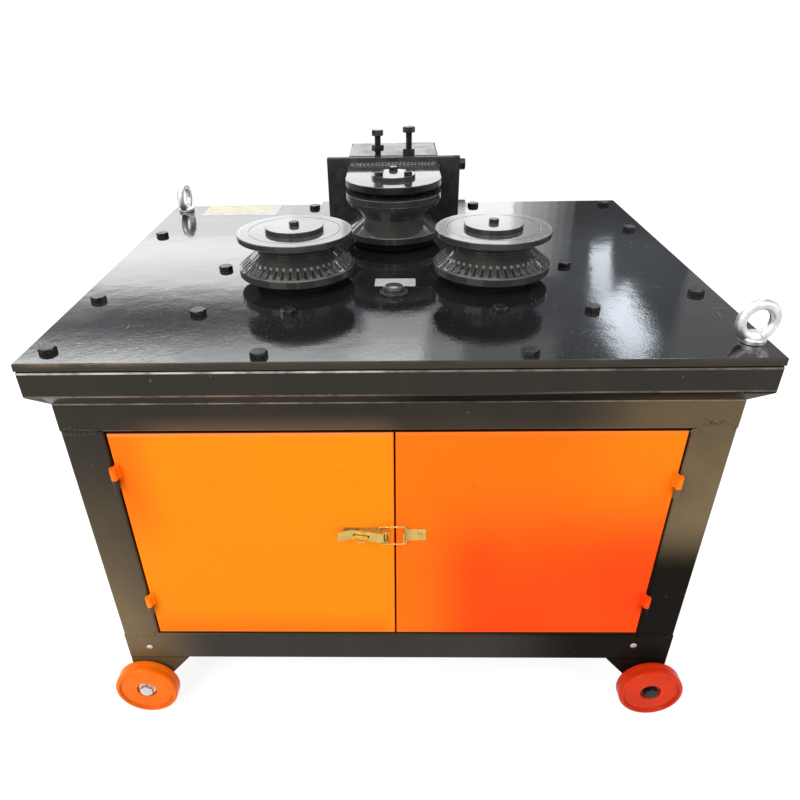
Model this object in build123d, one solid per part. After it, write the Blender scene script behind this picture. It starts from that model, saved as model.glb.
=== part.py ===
"""Three-roller bar bending machine on a wheeled cabinet.

Millimetres. X runs to the right, Y to the back, Z up. The floor under the wheels is Z = 0 and the
origin lies below the middle of the table. One STEP file is written for each piece.
"""
import math
import os

from build123d import *

os.makedirs("parts", exist_ok=True)

# table plate
table_width = 900.0
table_depth = 730.0
table_thick = 10.0
table_top = 642.0
table_edge_round = 1.5

# apron of angle bar under the edge of the table
apron_leg = 36.0
apron_wall = 4.0
apron_inset = 0.5
apron_heel_round = 4.5

# sloping skirt from the foot of the apron in to the frame
skirt_sheet = 3.0

# welded frame of square tube
frame_inset = 21.0
leg_side = 55.0
top_rail_height = 94.0
bottom_rail_height = 55.0
bottom_rail_base = 102.0
tube_wall = 3.0
tube_round = 3.0
rail_cap_thick = 3.0
sheet_thick = 1.5
sheet_recess = 6.0
floor_sheet_lift = 12.0

# wheels on bracket plates
wheel_radius = 50.0
wheel_width = 24.5
wheel_inset = 22.0
wheel_gap = 2.5
wheel_rim = 6.0
wheel_dish = 3.5
wheel_hub_radius = 17.0
wheel_bore_radius = 16.0
wheel_bore_depth = 10.0
wheel_edge_round = 3.0
side_play = 0.3
axle_radius = 6.0
axle_head = 7.0
axle_washer_radius = 13.5
bracket_thick = 8.0
bracket_inner_reach = 94.0
bracket_foot = 32.0
bracket_foot_half = 11.0
bracket_outer_drop = 42.0

# hex fasteners, twelve and eight millimetre thread
bolt_radius = 6.0
bolt_flats = 19.0
bolt_head = 6.5
bolt_washer_radius = 12.0
bolt_washer_thick = 2.5
bolt_nut = 10.0
thread_end = 4.0
small_flats = 13.0
small_head = 5.5

# table bolts, as distances from the edges of the table and from the rollers
side_bolt_inset = 30.0
front_left_bolt_inset = 34.0
rear_right_bolt_inset = 37.0
side_bolt_front_y = -163.0
side_bolt_rear_y = 152.0
front_bolt_x = 160.0
front_bolt_inset = 18.0
rear_bolt_inset = 31.0
rear_bolt_gap = 15.0
carrier_bolt_beside = 120.0
carrier_near_bolt_beside = -2.0
carrier_bolt_before = 132.0
carrier_bolt_behind = 48.0

# lifting eye bolts
eye_ring_outer = 27.0
eye_ring_hole = 14.5
eye_height = 53.0
eye_collar_radius = 15.0
eye_collar_thick = 7.0
eye_neck_radius = 8.5
front_eye_side_inset = 22.0
front_eye_inset = 45.5
rear_eye_side_inset = 29.5
rear_eye_inset = 38.0
front_eye_turn = 6.0
rear_eye_turn = 82.0

# front rollers, heights above the table
roller_y = -85.0
roller_bottom = 14.8
lower_rim_top = 25.4
lower_radius = 85.0
waist_radius = 57.0
cone_top = 47.3
roller_split = 50.0
bevel_bottom = 55.0
upper_rim_bottom = 66.6
upper_radius = 84.0
roller_top = 74.6
roller_chamfer = 1.5
ring_groove_radius = 66.0
ring_groove_width = 1.0
ring_groove_depth = 0.4
serration_count = 44
serration_outer = 81.0
serration_inner = 68.5
serration_width = 6.4
serration_depth = 2.4
spindle_radius = 27.0
spindle_shoulder_radius = 40.0
spindle_shoulder_thick = 2.0
clamp_washer_radius = 42.5
clamp_washer_thick = 6.5
clamp_washer_bevel = 0.6
cover_radius = 62.0
cover_thick = 12.0
cover_bevel = 3.0
running_clearance = 0.05
table_hole_clearance = 5.0

# gears below the table, heights below the table top
pinion_setback = 60.0
gear_module = 8.0
gear_teeth = 26
pinion_teeth = 13
pressure_angle = 20.0
tooth_backlash = 0.7
gear_top = -32.0
gear_bottom = -54.0
carrier_top = -84.0
carrier_thick = 12.0
carrier_margin = 22.0
spacer_radius = 11.0
pinion_shaft_radius = 16.0
shaft_head = 6.0
shaft_foot = 20.0
spindle_foot = -104.0

# drive unit hung below the carrier
reducer_width = 150.0
reducer_length = 170.0
reducer_height = 130.0
reducer_round = 12.0
motor_radius = 62.0
motor_length = 190.0
motor_flange_thick = 10.0
motor_fin_count = 20
motor_fin_depth = 8.0
motor_bell_length = 22.0
fan_cover_length = 45.0
terminal_box_side = 76.0
terminal_box_height = 46.0
terminal_box_sink = 12.0

# plug in the middle of the table
plug_washer_radius = 20.0
plug_washer_thick = 3.0
plug_head_radius = 15.0
plug_head_height = 8.0
plug_shank_radius = 9.0

# rear head, heights above the table
arm_reach = 100.0
spool_radius = 80.0
spool_bottom = 14.9
spool_lower_rim_top = 25.4
spool_throat_radius = 58.0
spool_waist_radius = 52.0
spool_waist_height = 46.0
spool_throat_half = 5.0
spool_waist_round = 1.6
spool_upper_cone_radius = 77.0
spool_upper_cone_top = 67.0
spool_upper_rim_bottom = 74.8
spool_top = 84.8
pin_radius = 20.0
arm_half_width = 80.0
arm_thick = 11.0
upper_arm_bottom = 95.0
lower_arm_bottom = 3.0
lower_arm_thick = 10.5
lower_arm_half_width = 70.0
arm_boss_radius = 34.0
boss_clearance = 0.4
pin_cap_radius = 36.5
pin_cap_thick = 5.5
pin_cap_bevel = 0.8
pin_cap_bolt_circle = 28.0
plate_half_width = 118.7
plate_gap = 6.0
plate_thick = 15.0
plate_height = 118.0
stop_bolt_height = 104.0
stop_bolt_length = 25.0
stop_bolt_flats = 18.0
stop_bolt_head = 9.5
slide_half_width = 50.0
slide_bottom = 25.0
slide_top = 91.0
slide_end_gap = 5.0
slide_clearance = 0.3
house_half_width = 81.0
house_length = 118.0
house_inset = 20.0
house_top = 118.0
house_round = 4.0
house_cover_thick = 10.0
base_half_width = 145.0
base_thick = 8.0
gib_thick = 8.0
plunger_radius = 24.0
plunger_height = 58.0
plunger_inset = 9.0
plunger_hole_inset = 2.0
adjuster_x = 28.0
adjuster_inset = 9.0
left_adjuster_head = 150.5
right_adjuster_head = 155.0
left_nut_lift = 7.0
adjuster_head = 9.5

# doors with bent edges, hung on barrel hinges
door_recess = 2.0
door_sheet = 1.5
door_return = 16.0
door_side_gap = 2.5
door_middle_gap = 2.5
door_top_gap = 3.0
door_bottom_gap = 3.0
door_bend_round = 2.0
hinge_radius = 4.5
hinge_pin_radius = 2.0
hinge_stand_off = 6.5
door_barrel = 18.0
leg_barrel = 15.0
barrel_gap = 0.4
hinge_cap = 2.0
hinge_leaf = 7.0
left_hinge_drop = 49.5
left_hinge_rise = 84.5
right_hinge_drop = 66.5
right_hinge_rise = 84.5

# toggle latch across the gap between the doors
latch_above_middle = 17.75
latch_plate_thick = 1.5
latch_half = 10.0
latch_left = -72.0
latch_pivot_x = -14.0
latch_pivot_out = 6.0
latch_ear_radius = 5.0
latch_pin_radius = 2.0
lever_half = 8.2
lever_root_x = -16.0
lever_root_out = 13.0
lever_bend_x = -61.0
lever_bend_out = 3.8
lever_tip_x = -80.0
lever_tip_out = 9.5
lever_cheek_end = -50.0
cheek_radius = 4.0
cheek_drop = 0.5
cheek_foot = 0.2
bail_offset = 8.0
bail_wire = 1.2
bail_leg = 15.5
bail_end_out = 1.0
bail_bend = 4.0
bail_bar_x = 15.3
keeper_right = 43.0
keeper_drop = 2.5
lip_left = 11.2
lip_height = 8.0
lip_trim = 1.0
rivet_radius = 3.0
rivet_height = 1.6
rivet_inset = 8.0
staple_x = -47.5
staple_half = 9.2
staple_out = 11.0
staple_hole = 3.6
staple_hole_out = 2.0
staple_thick = 2.0
lever_slot_half = 11.5

# supply gland in the rear sheet
gland_inset = 124.0
gland_rise = 33.0
gland_radius = 12.0
gland_hole = 6.5
gland_wall = 2.0
gland_nut_thick = 5.0
gland_collar = 6.25
gland_step = 1.5
gland_length = 20.0

half_width = table_width / 2
half_depth = table_depth / 2
frame_half_x = half_width - frame_inset
frame_half_y = half_depth - frame_inset
front_face = -frame_half_y
apron_bottom = table_top - table_thick - apron_leg
top_rail_top = table_top - table_thick - apron_wall
top_rail_bottom = top_rail_top - top_rail_height
bottom_rail_top = bottom_rail_base + bottom_rail_height
opening_half = frame_half_x - leg_side
table_under = table_top - table_thick
wheel_across = frame_half_x - wheel_inset
pinion_reach = gear_module * (gear_teeth + pinion_teeth) / 2
pinion_y = roller_y - pinion_setback
roller_across = math.sqrt(pinion_reach ** 2 - pinion_setback ** 2)
side_bolt_x = half_width - side_bolt_inset
rear_bolt_x = base_half_width + rear_bolt_gap
carrier_bolt_x = roller_across + carrier_bolt_beside
carrier_near_bolt_x = roller_across + carrier_near_bolt_beside
carrier_bolt_front_y = roller_y - carrier_bolt_before
carrier_bolt_rear_y = roller_y + carrier_bolt_behind
front_eye_spot = (half_width - front_eye_side_inset, front_eye_inset - half_depth)
rear_eye_spot = (rear_eye_side_inset - half_width, half_depth - rear_eye_inset)
house_rear_y = half_depth - house_inset
house_front_y = house_rear_y - house_length
plate_front_y = house_front_y - plate_gap - plate_thick
spool_y = plate_front_y - arm_reach
slide_rear_y = house_rear_y - slide_end_gap
plunger_front_y = house_front_y + plunger_inset
plunger_hole_front_y = house_front_y + plunger_hole_inset
adjuster_y = house_front_y + adjuster_inset
door_low = bottom_rail_top + door_bottom_gap
door_high = top_rail_bottom - door_top_gap
left_hinge_tops = (door_high - left_hinge_drop, door_low + left_hinge_rise)
right_hinge_tops = (door_high - right_hinge_drop, door_low + right_hinge_rise)
latch_height = (door_low + door_high) / 2 + latch_above_middle
gland_x = gland_inset - opening_half
gland_z = bottom_rail_top + gland_rise


def save(name, shape):
    """Write one piece to its own file."""
    export_step(shape, "parts/" + name + ".step")


def block(x0, x1, y0, y1, z0, z1):
    """Box between two corners."""
    return Pos((x0 + x1) / 2, (y0 + y1) / 2, (z0 + z1) / 2) * Box(x1 - x0, y1 - y0, z1 - z0)


def post(x, y, z0, z1, radius):
    """Upright cylinder."""
    return Pos(x, y, (z0 + z1) / 2) * Cylinder(radius, z1 - z0)


def turned(points):
    """Solid turned about Z from a closed outline of radius and height pairs."""
    outline = Polyline([(r, 0, z) for r, z in points], close=True)
    return revolve(make_face(outline), Axis.Z)


def hexagon(flats, z0, z1):
    """Upright hexagon prism on the Z axis."""
    return Pos(0, 0, z0) * extrude(RegularPolygon(flats / 2, 6, major_radius=False), z1 - z0)


def prism(points, z0, z1):
    """Upright prism over an outline in the XY plane."""
    return Pos(0, 0, z0) * extrude(make_face(Polyline([(x, y, 0) for x, y in points], close=True)), z1 - z0)


def tube(x0, x1, y0, y1, z0, z1, along):
    """Rounded rectangular tube, open at both ends, along one axis."""
    middle = ((x0 + x1) / 2, (y0 + y1) / 2, (z0 + z1) / 2)
    if along == "x":
        plane = Plane(origin=(x0, middle[1], middle[2]), x_dir=(0, 1, 0), z_dir=(1, 0, 0))
        wide, high, length = y1 - y0, z1 - z0, x1 - x0
    elif along == "y":
        plane = Plane(origin=(middle[0], y0, middle[2]), x_dir=(1, 0, 0), z_dir=(0, 1, 0))
        wide, high, length = x1 - x0, z1 - z0, y1 - y0
    else:
        plane = Plane(origin=(middle[0], middle[1], z0), x_dir=(1, 0, 0), z_dir=(0, 0, 1))
        wide, high, length = x1 - x0, y1 - y0, z1 - z0
    outline = RectangleRounded(wide, high, tube_round)
    outline -= Rectangle(wide - 2 * tube_wall, high - 2 * tube_wall)
    return extrude(plane * outline, length)


def hex_bolt(grip):
    """Bolt, head up, the head resting on Z = 0."""
    return hexagon(bolt_flats, 0, bolt_head) + post(0, 0, -grip, 0, bolt_radius)


def mirrored(shape):
    """Same piece on the other side of the X = 0 plane."""
    return mirror(shape, about=Plane.YZ)


# table plate with its holes
edge_spots = [
    (-side_bolt_x, front_left_bolt_inset - half_depth),
    (side_bolt_x, half_depth - rear_right_bolt_inset),
]
for side in (-1, 1):
    edge_spots.append((side * side_bolt_x, side_bolt_front_y))
    edge_spots.append((side * side_bolt_x, side_bolt_rear_y))
    edge_spots.append((side * front_bolt_x, front_bolt_inset - half_depth))
    edge_spots.append((side * rear_bolt_x, half_depth - rear_bolt_inset))
carrier_spots = []
for side in (-1, 1):
    carrier_spots.append((side * carrier_bolt_x, carrier_bolt_front_y))
    carrier_spots.append((side * carrier_bolt_x, carrier_bolt_rear_y))
    carrier_spots.append((side * carrier_near_bolt_x, carrier_bolt_front_y))
plate = block(-half_width, half_width, -half_depth, half_depth, table_under, table_top)
plate = fillet(plate.edges().group_by(Axis.Z)[-1], table_edge_round)
plate_holes = [post(x, y, table_under - 1, table_top + 1, bolt_radius) for x, y in edge_spots + carrier_spots]
for spot in (front_eye_spot, rear_eye_spot):
    plate_holes.append(post(spot[0], spot[1], table_under - 1, table_top + 1, bolt_radius))
for side in (-1, 1):
    spindle_hole = spindle_radius + table_hole_clearance
    plate_holes.append(post(side * roller_across, roller_y, table_under - 1, table_top + 1, spindle_hole))
plate_holes.append(post(0, pinion_y, table_under - 1, table_top + 1, plug_shank_radius))
save("table_plate", plate - plate_holes)

# apron bars, mitred at the corners
ax = half_width - apron_inset
ay = half_depth - apron_inset
ring = block(-ax, ax, -ay, ay, apron_bottom, table_under)
wall_x, wall_y = ax - apron_wall, ay - apron_wall
ring -= block(-wall_x, wall_x, -wall_y, wall_y, apron_bottom - 1, table_under - apron_wall)
toe_x, toe_y = ax - apron_leg, ay - apron_leg
ring -= block(-toe_x, toe_x, -toe_y, toe_y, apron_bottom - 1, table_under + 1)
heel = [
    edge
    for edge in ring.edges()
    if edge.center().Z > table_under - 0.01
    and (abs(edge.center().X) > ax - 0.01 or abs(edge.center().Y) > ay - 0.01)
]
ring = fillet(heel, apron_heel_round)
reach = 2 * apron_leg
bars = {
    "front": [(-ax - 9, -ay - 9), (ax + 9, -ay - 9), (ax - reach, reach - ay), (reach - ax, reach - ay)],
    "rear": [(-ax - 9, ay + 9), (ax + 9, ay + 9), (ax - reach, ay - reach), (reach - ax, ay - reach)],
    "left": [(-ax - 9, -ay - 9), (reach - ax, reach - ay), (reach - ax, ay - reach), (-ax - 9, ay + 9)],
    "right": [(ax + 9, -ay - 9), (ax - reach, reach - ay), (ax - reach, ay - reach), (ax + 9, ay + 9)],
}
apron_holes = [post(x, y, table_under - 20, table_top, bolt_radius) for x, y in edge_spots]
for spot in (front_eye_spot, rear_eye_spot):
    apron_holes.append(post(spot[0], spot[1], table_under - 20, table_top, bolt_radius))
for side_name, outline in bars.items():
    bar = ring & prism(outline, apron_bottom - 5, table_top)
    save("apron_" + side_name, bar - apron_holes)

# skirt: sloping strips from the foot of the apron down to the frame, at forty-five degrees
skirt_bottom = apron_bottom - (ax - frame_half_x)
skirt_foot = Pos(0, 0, skirt_bottom) * Rectangle(2 * frame_half_x, 2 * frame_half_y)
skirt_head = Pos(0, 0, apron_bottom) * Rectangle(2 * ax, 2 * ay)
flare = loft([skirt_foot, skirt_head])
skirt = flare - Pos(0, 0, skirt_sheet * math.sqrt(2)) * flare
inside = block(-frame_half_x, frame_half_x, -frame_half_y, frame_half_y, skirt_bottom - 1, apron_bottom + 1)
save("apron_skirt", skirt - inside)

# frame tubes: long rails front and rear, legs between them, short rails at the sides
long_half = frame_half_x - rail_cap_thick
legs = []
top_rails = []
bottom_rails = []
levels = ((top_rail_bottom, top_rail_top), (bottom_rail_base, bottom_rail_top))
for front_back in (-1, 1):
    y_out = front_back * frame_half_y
    y_in = front_back * (frame_half_y - leg_side)
    y0, y1 = min(y_out, y_in), max(y_out, y_in)
    top_rails.append(tube(-long_half, long_half, y0, y1, levels[0][0], levels[0][1], "x"))
    bottom_rails.append(tube(-long_half, long_half, y0, y1, levels[1][0], levels[1][1], "x"))
    for side in (-1, 1):
        x_out, x_in = side * frame_half_x, side * opening_half
        x0, x1 = min(x_out, x_in), max(x_out, x_in)
        legs.append(tube(x0, x1, y0, y1, bottom_rail_top, top_rail_bottom, "z"))
        cap_in = side * long_half
        for z0, z1 in levels:
            cap_middle = (min(x_out, cap_in), (y0 + y1) / 2, (z0 + z1) / 2)
            cap = Plane(origin=cap_middle, x_dir=(0, 1, 0), z_dir=(1, 0, 0))
            lid = extrude(cap * RectangleRounded(leg_side, z1 - z0, tube_round), rail_cap_thick)
            (top_rails if z0 == levels[0][0] else bottom_rails).append(lid)
for side in (-1, 1):
    x_out, x_in = side * frame_half_x, side * opening_half
    x0, x1 = min(x_out, x_in), max(x_out, x_in)
    y_end = frame_half_y - leg_side
    top_rails.append(tube(x0, x1, -y_end, y_end, levels[0][0], levels[0][1], "y"))
    bottom_rails.append(tube(x0, x1, -y_end, y_end, levels[1][0], levels[1][1], "y"))
save("legs", Compound(children=legs))
save("top_rails", Compound(children=top_rails))
save("bottom_rails", Compound(children=bottom_rails))

# cabinet sheets
y_end = frame_half_y - leg_side
sheet_out_x = frame_half_x - sheet_recess
sheet_out_y = frame_half_y - sheet_recess
side_sheet = block(sheet_out_x - sheet_thick, sheet_out_x, -y_end, y_end, bottom_rail_top, top_rail_bottom)
save("side_sheets", Compound(children=[side_sheet, mirrored(side_sheet)]))
rear_sheet = block(
    -opening_half, opening_half, sheet_out_y - sheet_thick, sheet_out_y, bottom_rail_top, top_rail_bottom
)
gland_at = Pos(gland_x, sheet_out_y - sheet_thick / 2, gland_z) * Rot(-90, 0, 0)
sheet_hole = Cylinder(gland_hole + gland_wall, 4 * sheet_thick)
save("rear_sheet", rear_sheet - gland_at * sheet_hole)
floor_z = bottom_rail_base + floor_sheet_lift
save("floor_sheet", block(-opening_half, opening_half, -y_end, y_end, floor_z, floor_z + sheet_thick))
gland_face = sheet_thick / 2
gland_back = -gland_face - gland_nut_thick
gland = post(0, 0, gland_back, gland_face, gland_hole + gland_wall)
gland += hexagon(2 * gland_radius, gland_face, gland_face + gland_collar)
gland += post(0, 0, gland_face + gland_collar, gland_length, gland_radius - gland_step)
gland += hexagon(2 * gland_radius, gland_back, -gland_face)
gland -= post(0, 0, gland_back - 1, gland_length + 1, gland_hole)
save("cable_gland", gland_at * gland)


def wheel_bracket():
    """Plate under the right-hand end of the front rail, flush with its face."""
    x_out = frame_half_x
    points = [
        (x_out, bottom_rail_base),
        (x_out - bracket_inner_reach, bottom_rail_base),
        (wheel_across - bracket_foot_half, bracket_foot),
        (wheel_across + bracket_foot_half, bracket_foot),
        (x_out, bottom_rail_base - bracket_outer_drop),
    ]
    face = make_face(Polyline([(x, front_face, z) for x, z in points], close=True))
    plate = extrude(face, bracket_thick, dir=(0, 1, 0))
    hole = Rot(90, 0, 0) * Cylinder(axle_radius, 4 * bracket_thick)
    return plate - Pos(wheel_across, front_face, wheel_radius) * hole


def wheel():
    """Solid wheel, both faces dished, axis on Z; the outer face is bored for the head of the axle bolt."""
    inner = wheel_radius - wheel_rim
    face = [
        (inner - 2.0, wheel_dish),
        (inner, 0.6),
        (inner + 2.0, 0),
        (wheel_radius - wheel_edge_round, 0),
        (wheel_radius - 0.3 * wheel_edge_round, 0.3 * wheel_edge_round),
        (wheel_radius, wheel_edge_round),
    ]
    bore_side = axle_radius + running_clearance
    hub = [(bore_side, 0), (wheel_hub_radius, 0), (wheel_hub_radius + 1.5, wheel_dish)]
    outer = [(r, wheel_width - z) for r, z in reversed(face)]
    outer.append((bore_side, wheel_width - wheel_dish))
    bore = post(0, 0, wheel_width - wheel_bore_depth, wheel_width + 1, wheel_bore_radius)
    return turned(hub + face + outer) - bore


def axle_bolt():
    """Bolt through wheel and bracket, head sunk in the wheel; the wheel's outer face lies at Z = 0."""
    seat = side_play - wheel_bore_depth
    top = seat + bolt_washer_thick
    bracket_back = -wheel_width - wheel_gap - bracket_thick
    bolt = post(0, 0, bracket_back - bolt_nut - thread_end, seat, axle_radius)
    bolt += post(0, 0, seat, top, axle_washer_radius)
    bolt += hexagon(bolt_flats, top, top + axle_head)
    bolt += post(0, 0, -wheel_width - wheel_gap, -wheel_width - side_play, bolt_washer_radius)
    return bolt + hexagon(bolt_flats, bracket_back - bolt_nut, bracket_back)


brackets = [wheel_bracket(), mirrored(wheel_bracket())]
brackets += [mirror(piece, about=Plane.XZ) for piece in brackets]
save("wheel_brackets", Compound(children=brackets))
axles = []
wheel_face = front_face - wheel_gap - wheel_width
for front_back, place in ((1, "front"), (-1, "rear")):
    for side, hand in ((-1, "left"), (1, "right")):
        at = Pos(side * wheel_across, front_back * wheel_face, wheel_radius) * Rot(90 * front_back, 0, 0)
        save(place + "_" + hand + "_wheel", at * Pos(0, 0, -wheel_width) * wheel())
        axles.append(at * axle_bolt())
save("axle_bolts", Compound(children=axles))

# bolts on the table
edge_grip = table_thick + apron_wall
save("edge_bolts", Compound(children=[Pos(x, y, table_top) * hex_bolt(edge_grip) for x, y in edge_spots]))
carrier_grip = carrier_thick - carrier_top + bolt_nut + thread_end
carrier_bolts = []
for x, y in carrier_spots:
    nut = hexagon(bolt_flats, carrier_top - carrier_thick - bolt_nut, carrier_top - carrier_thick)
    carrier_bolts.append(Pos(x, y, table_top) * (hex_bolt(carrier_grip) + nut))
save("carrier_bolts", Compound(children=carrier_bolts))


def eye_bolt():
    """Lifting eye standing on Z = 0, ring square to Y."""
    wire = (eye_ring_outer - eye_ring_hole) / 2
    middle = eye_height - eye_ring_outer
    ring = Pos(0, 0, middle) * Rot(90, 0, 0) * Torus((eye_ring_outer + eye_ring_hole) / 2, wire)
    neck_top = middle - eye_ring_hole - wire
    collar = turned(
        [
            (0, 0),
            (eye_collar_radius, 0),
            (eye_collar_radius, eye_collar_thick - 1.5),
            (eye_collar_radius - 1.5, eye_collar_thick),
            (eye_neck_radius, eye_collar_thick + 1.5),
            (wire, neck_top + 1.0),
            (0, neck_top + 1.0),
        ]
    )
    ring -= block(-eye_ring_outer, eye_ring_outer, -eye_ring_outer, eye_ring_outer, -eye_ring_outer, 0)
    return ring + collar + post(0, 0, -edge_grip, 0, bolt_radius)


front_eye = Pos(front_eye_spot[0], front_eye_spot[1], table_top) * Rot(0, 0, front_eye_turn) * eye_bolt()
rear_eye = Pos(rear_eye_spot[0], rear_eye_spot[1], table_top) * Rot(0, 0, rear_eye_turn) * eye_bolt()
save("front_eye_bolt", front_eye)
save("rear_eye_bolt", rear_eye)

plug = turned(
    [
        (0, -table_thick),
        (plug_shank_radius, -table_thick),
        (plug_shank_radius, 0),
        (plug_washer_radius, 0),
        (plug_washer_radius, plug_washer_thick),
        (plug_head_radius, plug_washer_thick),
        (plug_head_radius, plug_washer_thick + 0.6 * plug_head_height),
        (0.8 * plug_head_radius, plug_washer_thick + plug_head_height),
        (0, plug_washer_thick + plug_head_height),
    ]
)
save("centre_plug", Pos(0, pinion_y, table_top) * plug)


def lower_half():
    """Lower half of a front roller: rim, cone with milled serrations, waist."""
    body = turned(
        [
            (spindle_radius, roller_bottom),
            (lower_radius - roller_chamfer, roller_bottom),
            (lower_radius, roller_bottom + roller_chamfer),
            (lower_radius, lower_rim_top),
            (waist_radius, cone_top),
            (waist_radius, roller_split),
            (spindle_radius, roller_split),
        ]
    )
    run = lower_radius - waist_radius
    rise = cone_top - lower_rim_top
    slant = math.hypot(run, rise)
    along = (-run / slant, 0, rise / slant)
    out = (rise / slant, 0, run / slant)
    start_z = lower_rim_top + (lower_radius - serration_outer) * rise / run
    start = (serration_outer, 0, start_z)
    length = (serration_outer - serration_inner) * slant / run
    corners = []
    for across, lift in ((-serration_width / 2, 0.5), (serration_width / 2, 0.5), (0, -serration_depth)):
        corners.append((start[0] + lift * out[0], across, start[2] + lift * out[2]))
    cutter = extrude(make_face(Polyline(corners, close=True)), length, dir=along)
    step = 360.0 / serration_count
    return body - [Rot(0, 0, k * step) * cutter for k in range(serration_count)]


def upper_half():
    """Upper half of a front roller: bevelled underside, rim and a ring groove in the top."""
    return turned(
        [
            (spindle_radius, roller_split),
            (waist_radius, roller_split),
            (waist_radius, bevel_bottom),
            (upper_radius - roller_chamfer, upper_rim_bottom),
            (upper_radius, upper_rim_bottom + roller_chamfer),
            (upper_radius, roller_top - roller_chamfer),
            (upper_radius - roller_chamfer, roller_top),
            (ring_groove_radius + ring_groove_width, roller_top),
            (ring_groove_radius + ring_groove_width / 2, roller_top - ring_groove_depth),
            (ring_groove_radius, roller_top),
            (spindle_radius, roller_top),
        ]
    )


def spindle():
    """Shaft of a front roller with a shoulder under the roller."""
    shaft = post(0, 0, spindle_foot, roller_top, spindle_radius)
    return shaft + post(0, 0, roller_bottom - spindle_shoulder_thick, roller_bottom, spindle_shoulder_radius)


def gear_outline(teeth, phase, backlash):
    """Corner points of an involute gear, one tooth centred on the phase angle in degrees."""
    pitch = gear_module * teeth / 2
    tip = pitch + gear_module
    root = pitch - 1.25 * gear_module
    base = pitch * math.cos(math.radians(pressure_angle))
    half_pitch = math.pi / (2 * teeth) - backlash / (2 * pitch)
    slope = math.tan(math.radians(pressure_angle)) - math.radians(pressure_angle)

    def half_angle(radius):
        """Half the angle that the tooth fills at a radius."""
        lean = math.acos(min(1.0, base / max(radius, base)))
        return half_pitch + slope - (math.tan(lean) - lean)

    radii = [root, max(base, root + 0.5), pitch, (pitch + tip) / 2, tip]
    points = []
    for k in range(teeth):
        middle = math.radians(phase) + 2 * math.pi * k / teeth
        for radius in radii:
            turn = middle - half_angle(radius)
            points.append((radius * math.cos(turn), radius * math.sin(turn)))
        for radius in reversed(radii):
            turn = middle + half_angle(radius)
            points.append((radius * math.cos(turn), radius * math.sin(turn)))
    return points


def meshing_phase(direction):
    """Phase of a gear that lies in a direction, in degrees, from a pinion with a tooth at zero."""
    pinion_step = 360.0 / pinion_teeth
    gear_step = 360.0 / gear_teeth
    pinion_share = (direction % pinion_step) / pinion_step
    gear_share = (0.5 - pinion_share) % 1.0
    return direction + 180.0 - gear_share * gear_step


for side, hand in ((-1, "left"), (1, "right")):
    at = Pos(side * roller_across, roller_y, table_top)
    save(hand + "_roller_lower", at * lower_half())
    save(hand + "_roller_upper", at * upper_half())
    save(hand + "_spindle", at * spindle())
    washer_top = roller_top + clamp_washer_thick
    washer = post(0, 0, roller_top, washer_top, clamp_washer_radius)
    washer = chamfer(washer.edges().group_by(Axis.Z)[-1], clamp_washer_bevel)
    washer += hexagon(small_flats, washer_top, washer_top + small_head)
    save(hand + "_clamp", at * washer)
    mesh_direction = math.degrees(math.atan2(roller_y - pinion_y, side * roller_across))
    teeth_outline = gear_outline(gear_teeth, meshing_phase(mesh_direction), tooth_backlash)
    gear = prism(teeth_outline, gear_bottom, gear_top)
    gear -= post(0, 0, gear_bottom - 1, gear_top + 1, spindle_radius)
    save(hand + "_gear", at * gear)

covers = []
for side in (-1, 1):
    at = Pos(side * roller_across, roller_y, table_top)
    cover = turned(
        [
            (spindle_radius + running_clearance, 0),
            (cover_radius, 0),
            (cover_radius, cover_thick - cover_bevel),
            (cover_radius - cover_bevel, cover_thick),
            (spindle_radius + running_clearance, cover_thick),
        ]
    )
    covers.append(at * cover)
save("bearing_covers", Compound(children=covers))

# pinion, carrier plate and spacers
pinion = prism(gear_outline(pinion_teeth, 0.0, tooth_backlash), gear_bottom, gear_top)
pinion += post(0, 0, carrier_top - carrier_thick - shaft_foot, gear_top + shaft_head, pinion_shaft_radius)
save("pinion", Pos(0, pinion_y, table_top) * pinion)
carrier_half = carrier_bolt_x + carrier_margin
carrier = block(
    -carrier_half, carrier_half, carrier_bolt_front_y - carrier_margin, carrier_bolt_rear_y + carrier_margin,
    table_top + carrier_top - carrier_thick, table_top + carrier_top,
)
carrier = fillet(carrier.edges().filter_by(Axis.Z), carrier_thick)
low = table_top + carrier_top - carrier_thick - 1
high = table_top + carrier_top + 1
carrier_cuts = [post(x, y, low, high, bolt_radius) for x, y in carrier_spots]
for side in (-1, 1):
    carrier_cuts.append(post(side * roller_across, roller_y, low, high, spindle_radius + running_clearance))
carrier_cuts.append(post(0, pinion_y, low, high, pinion_shaft_radius + running_clearance))
carrier_pieces = [carrier - carrier_cuts]
for x, y in carrier_spots:
    spacer = post(x, y, table_top + carrier_top, table_under, spacer_radius)
    carrier_pieces.append(spacer - post(x, y, table_top + carrier_top - 1, table_under + 1, bolt_radius))
save("drive_carrier", Compound(children=carrier_pieces))

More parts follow.
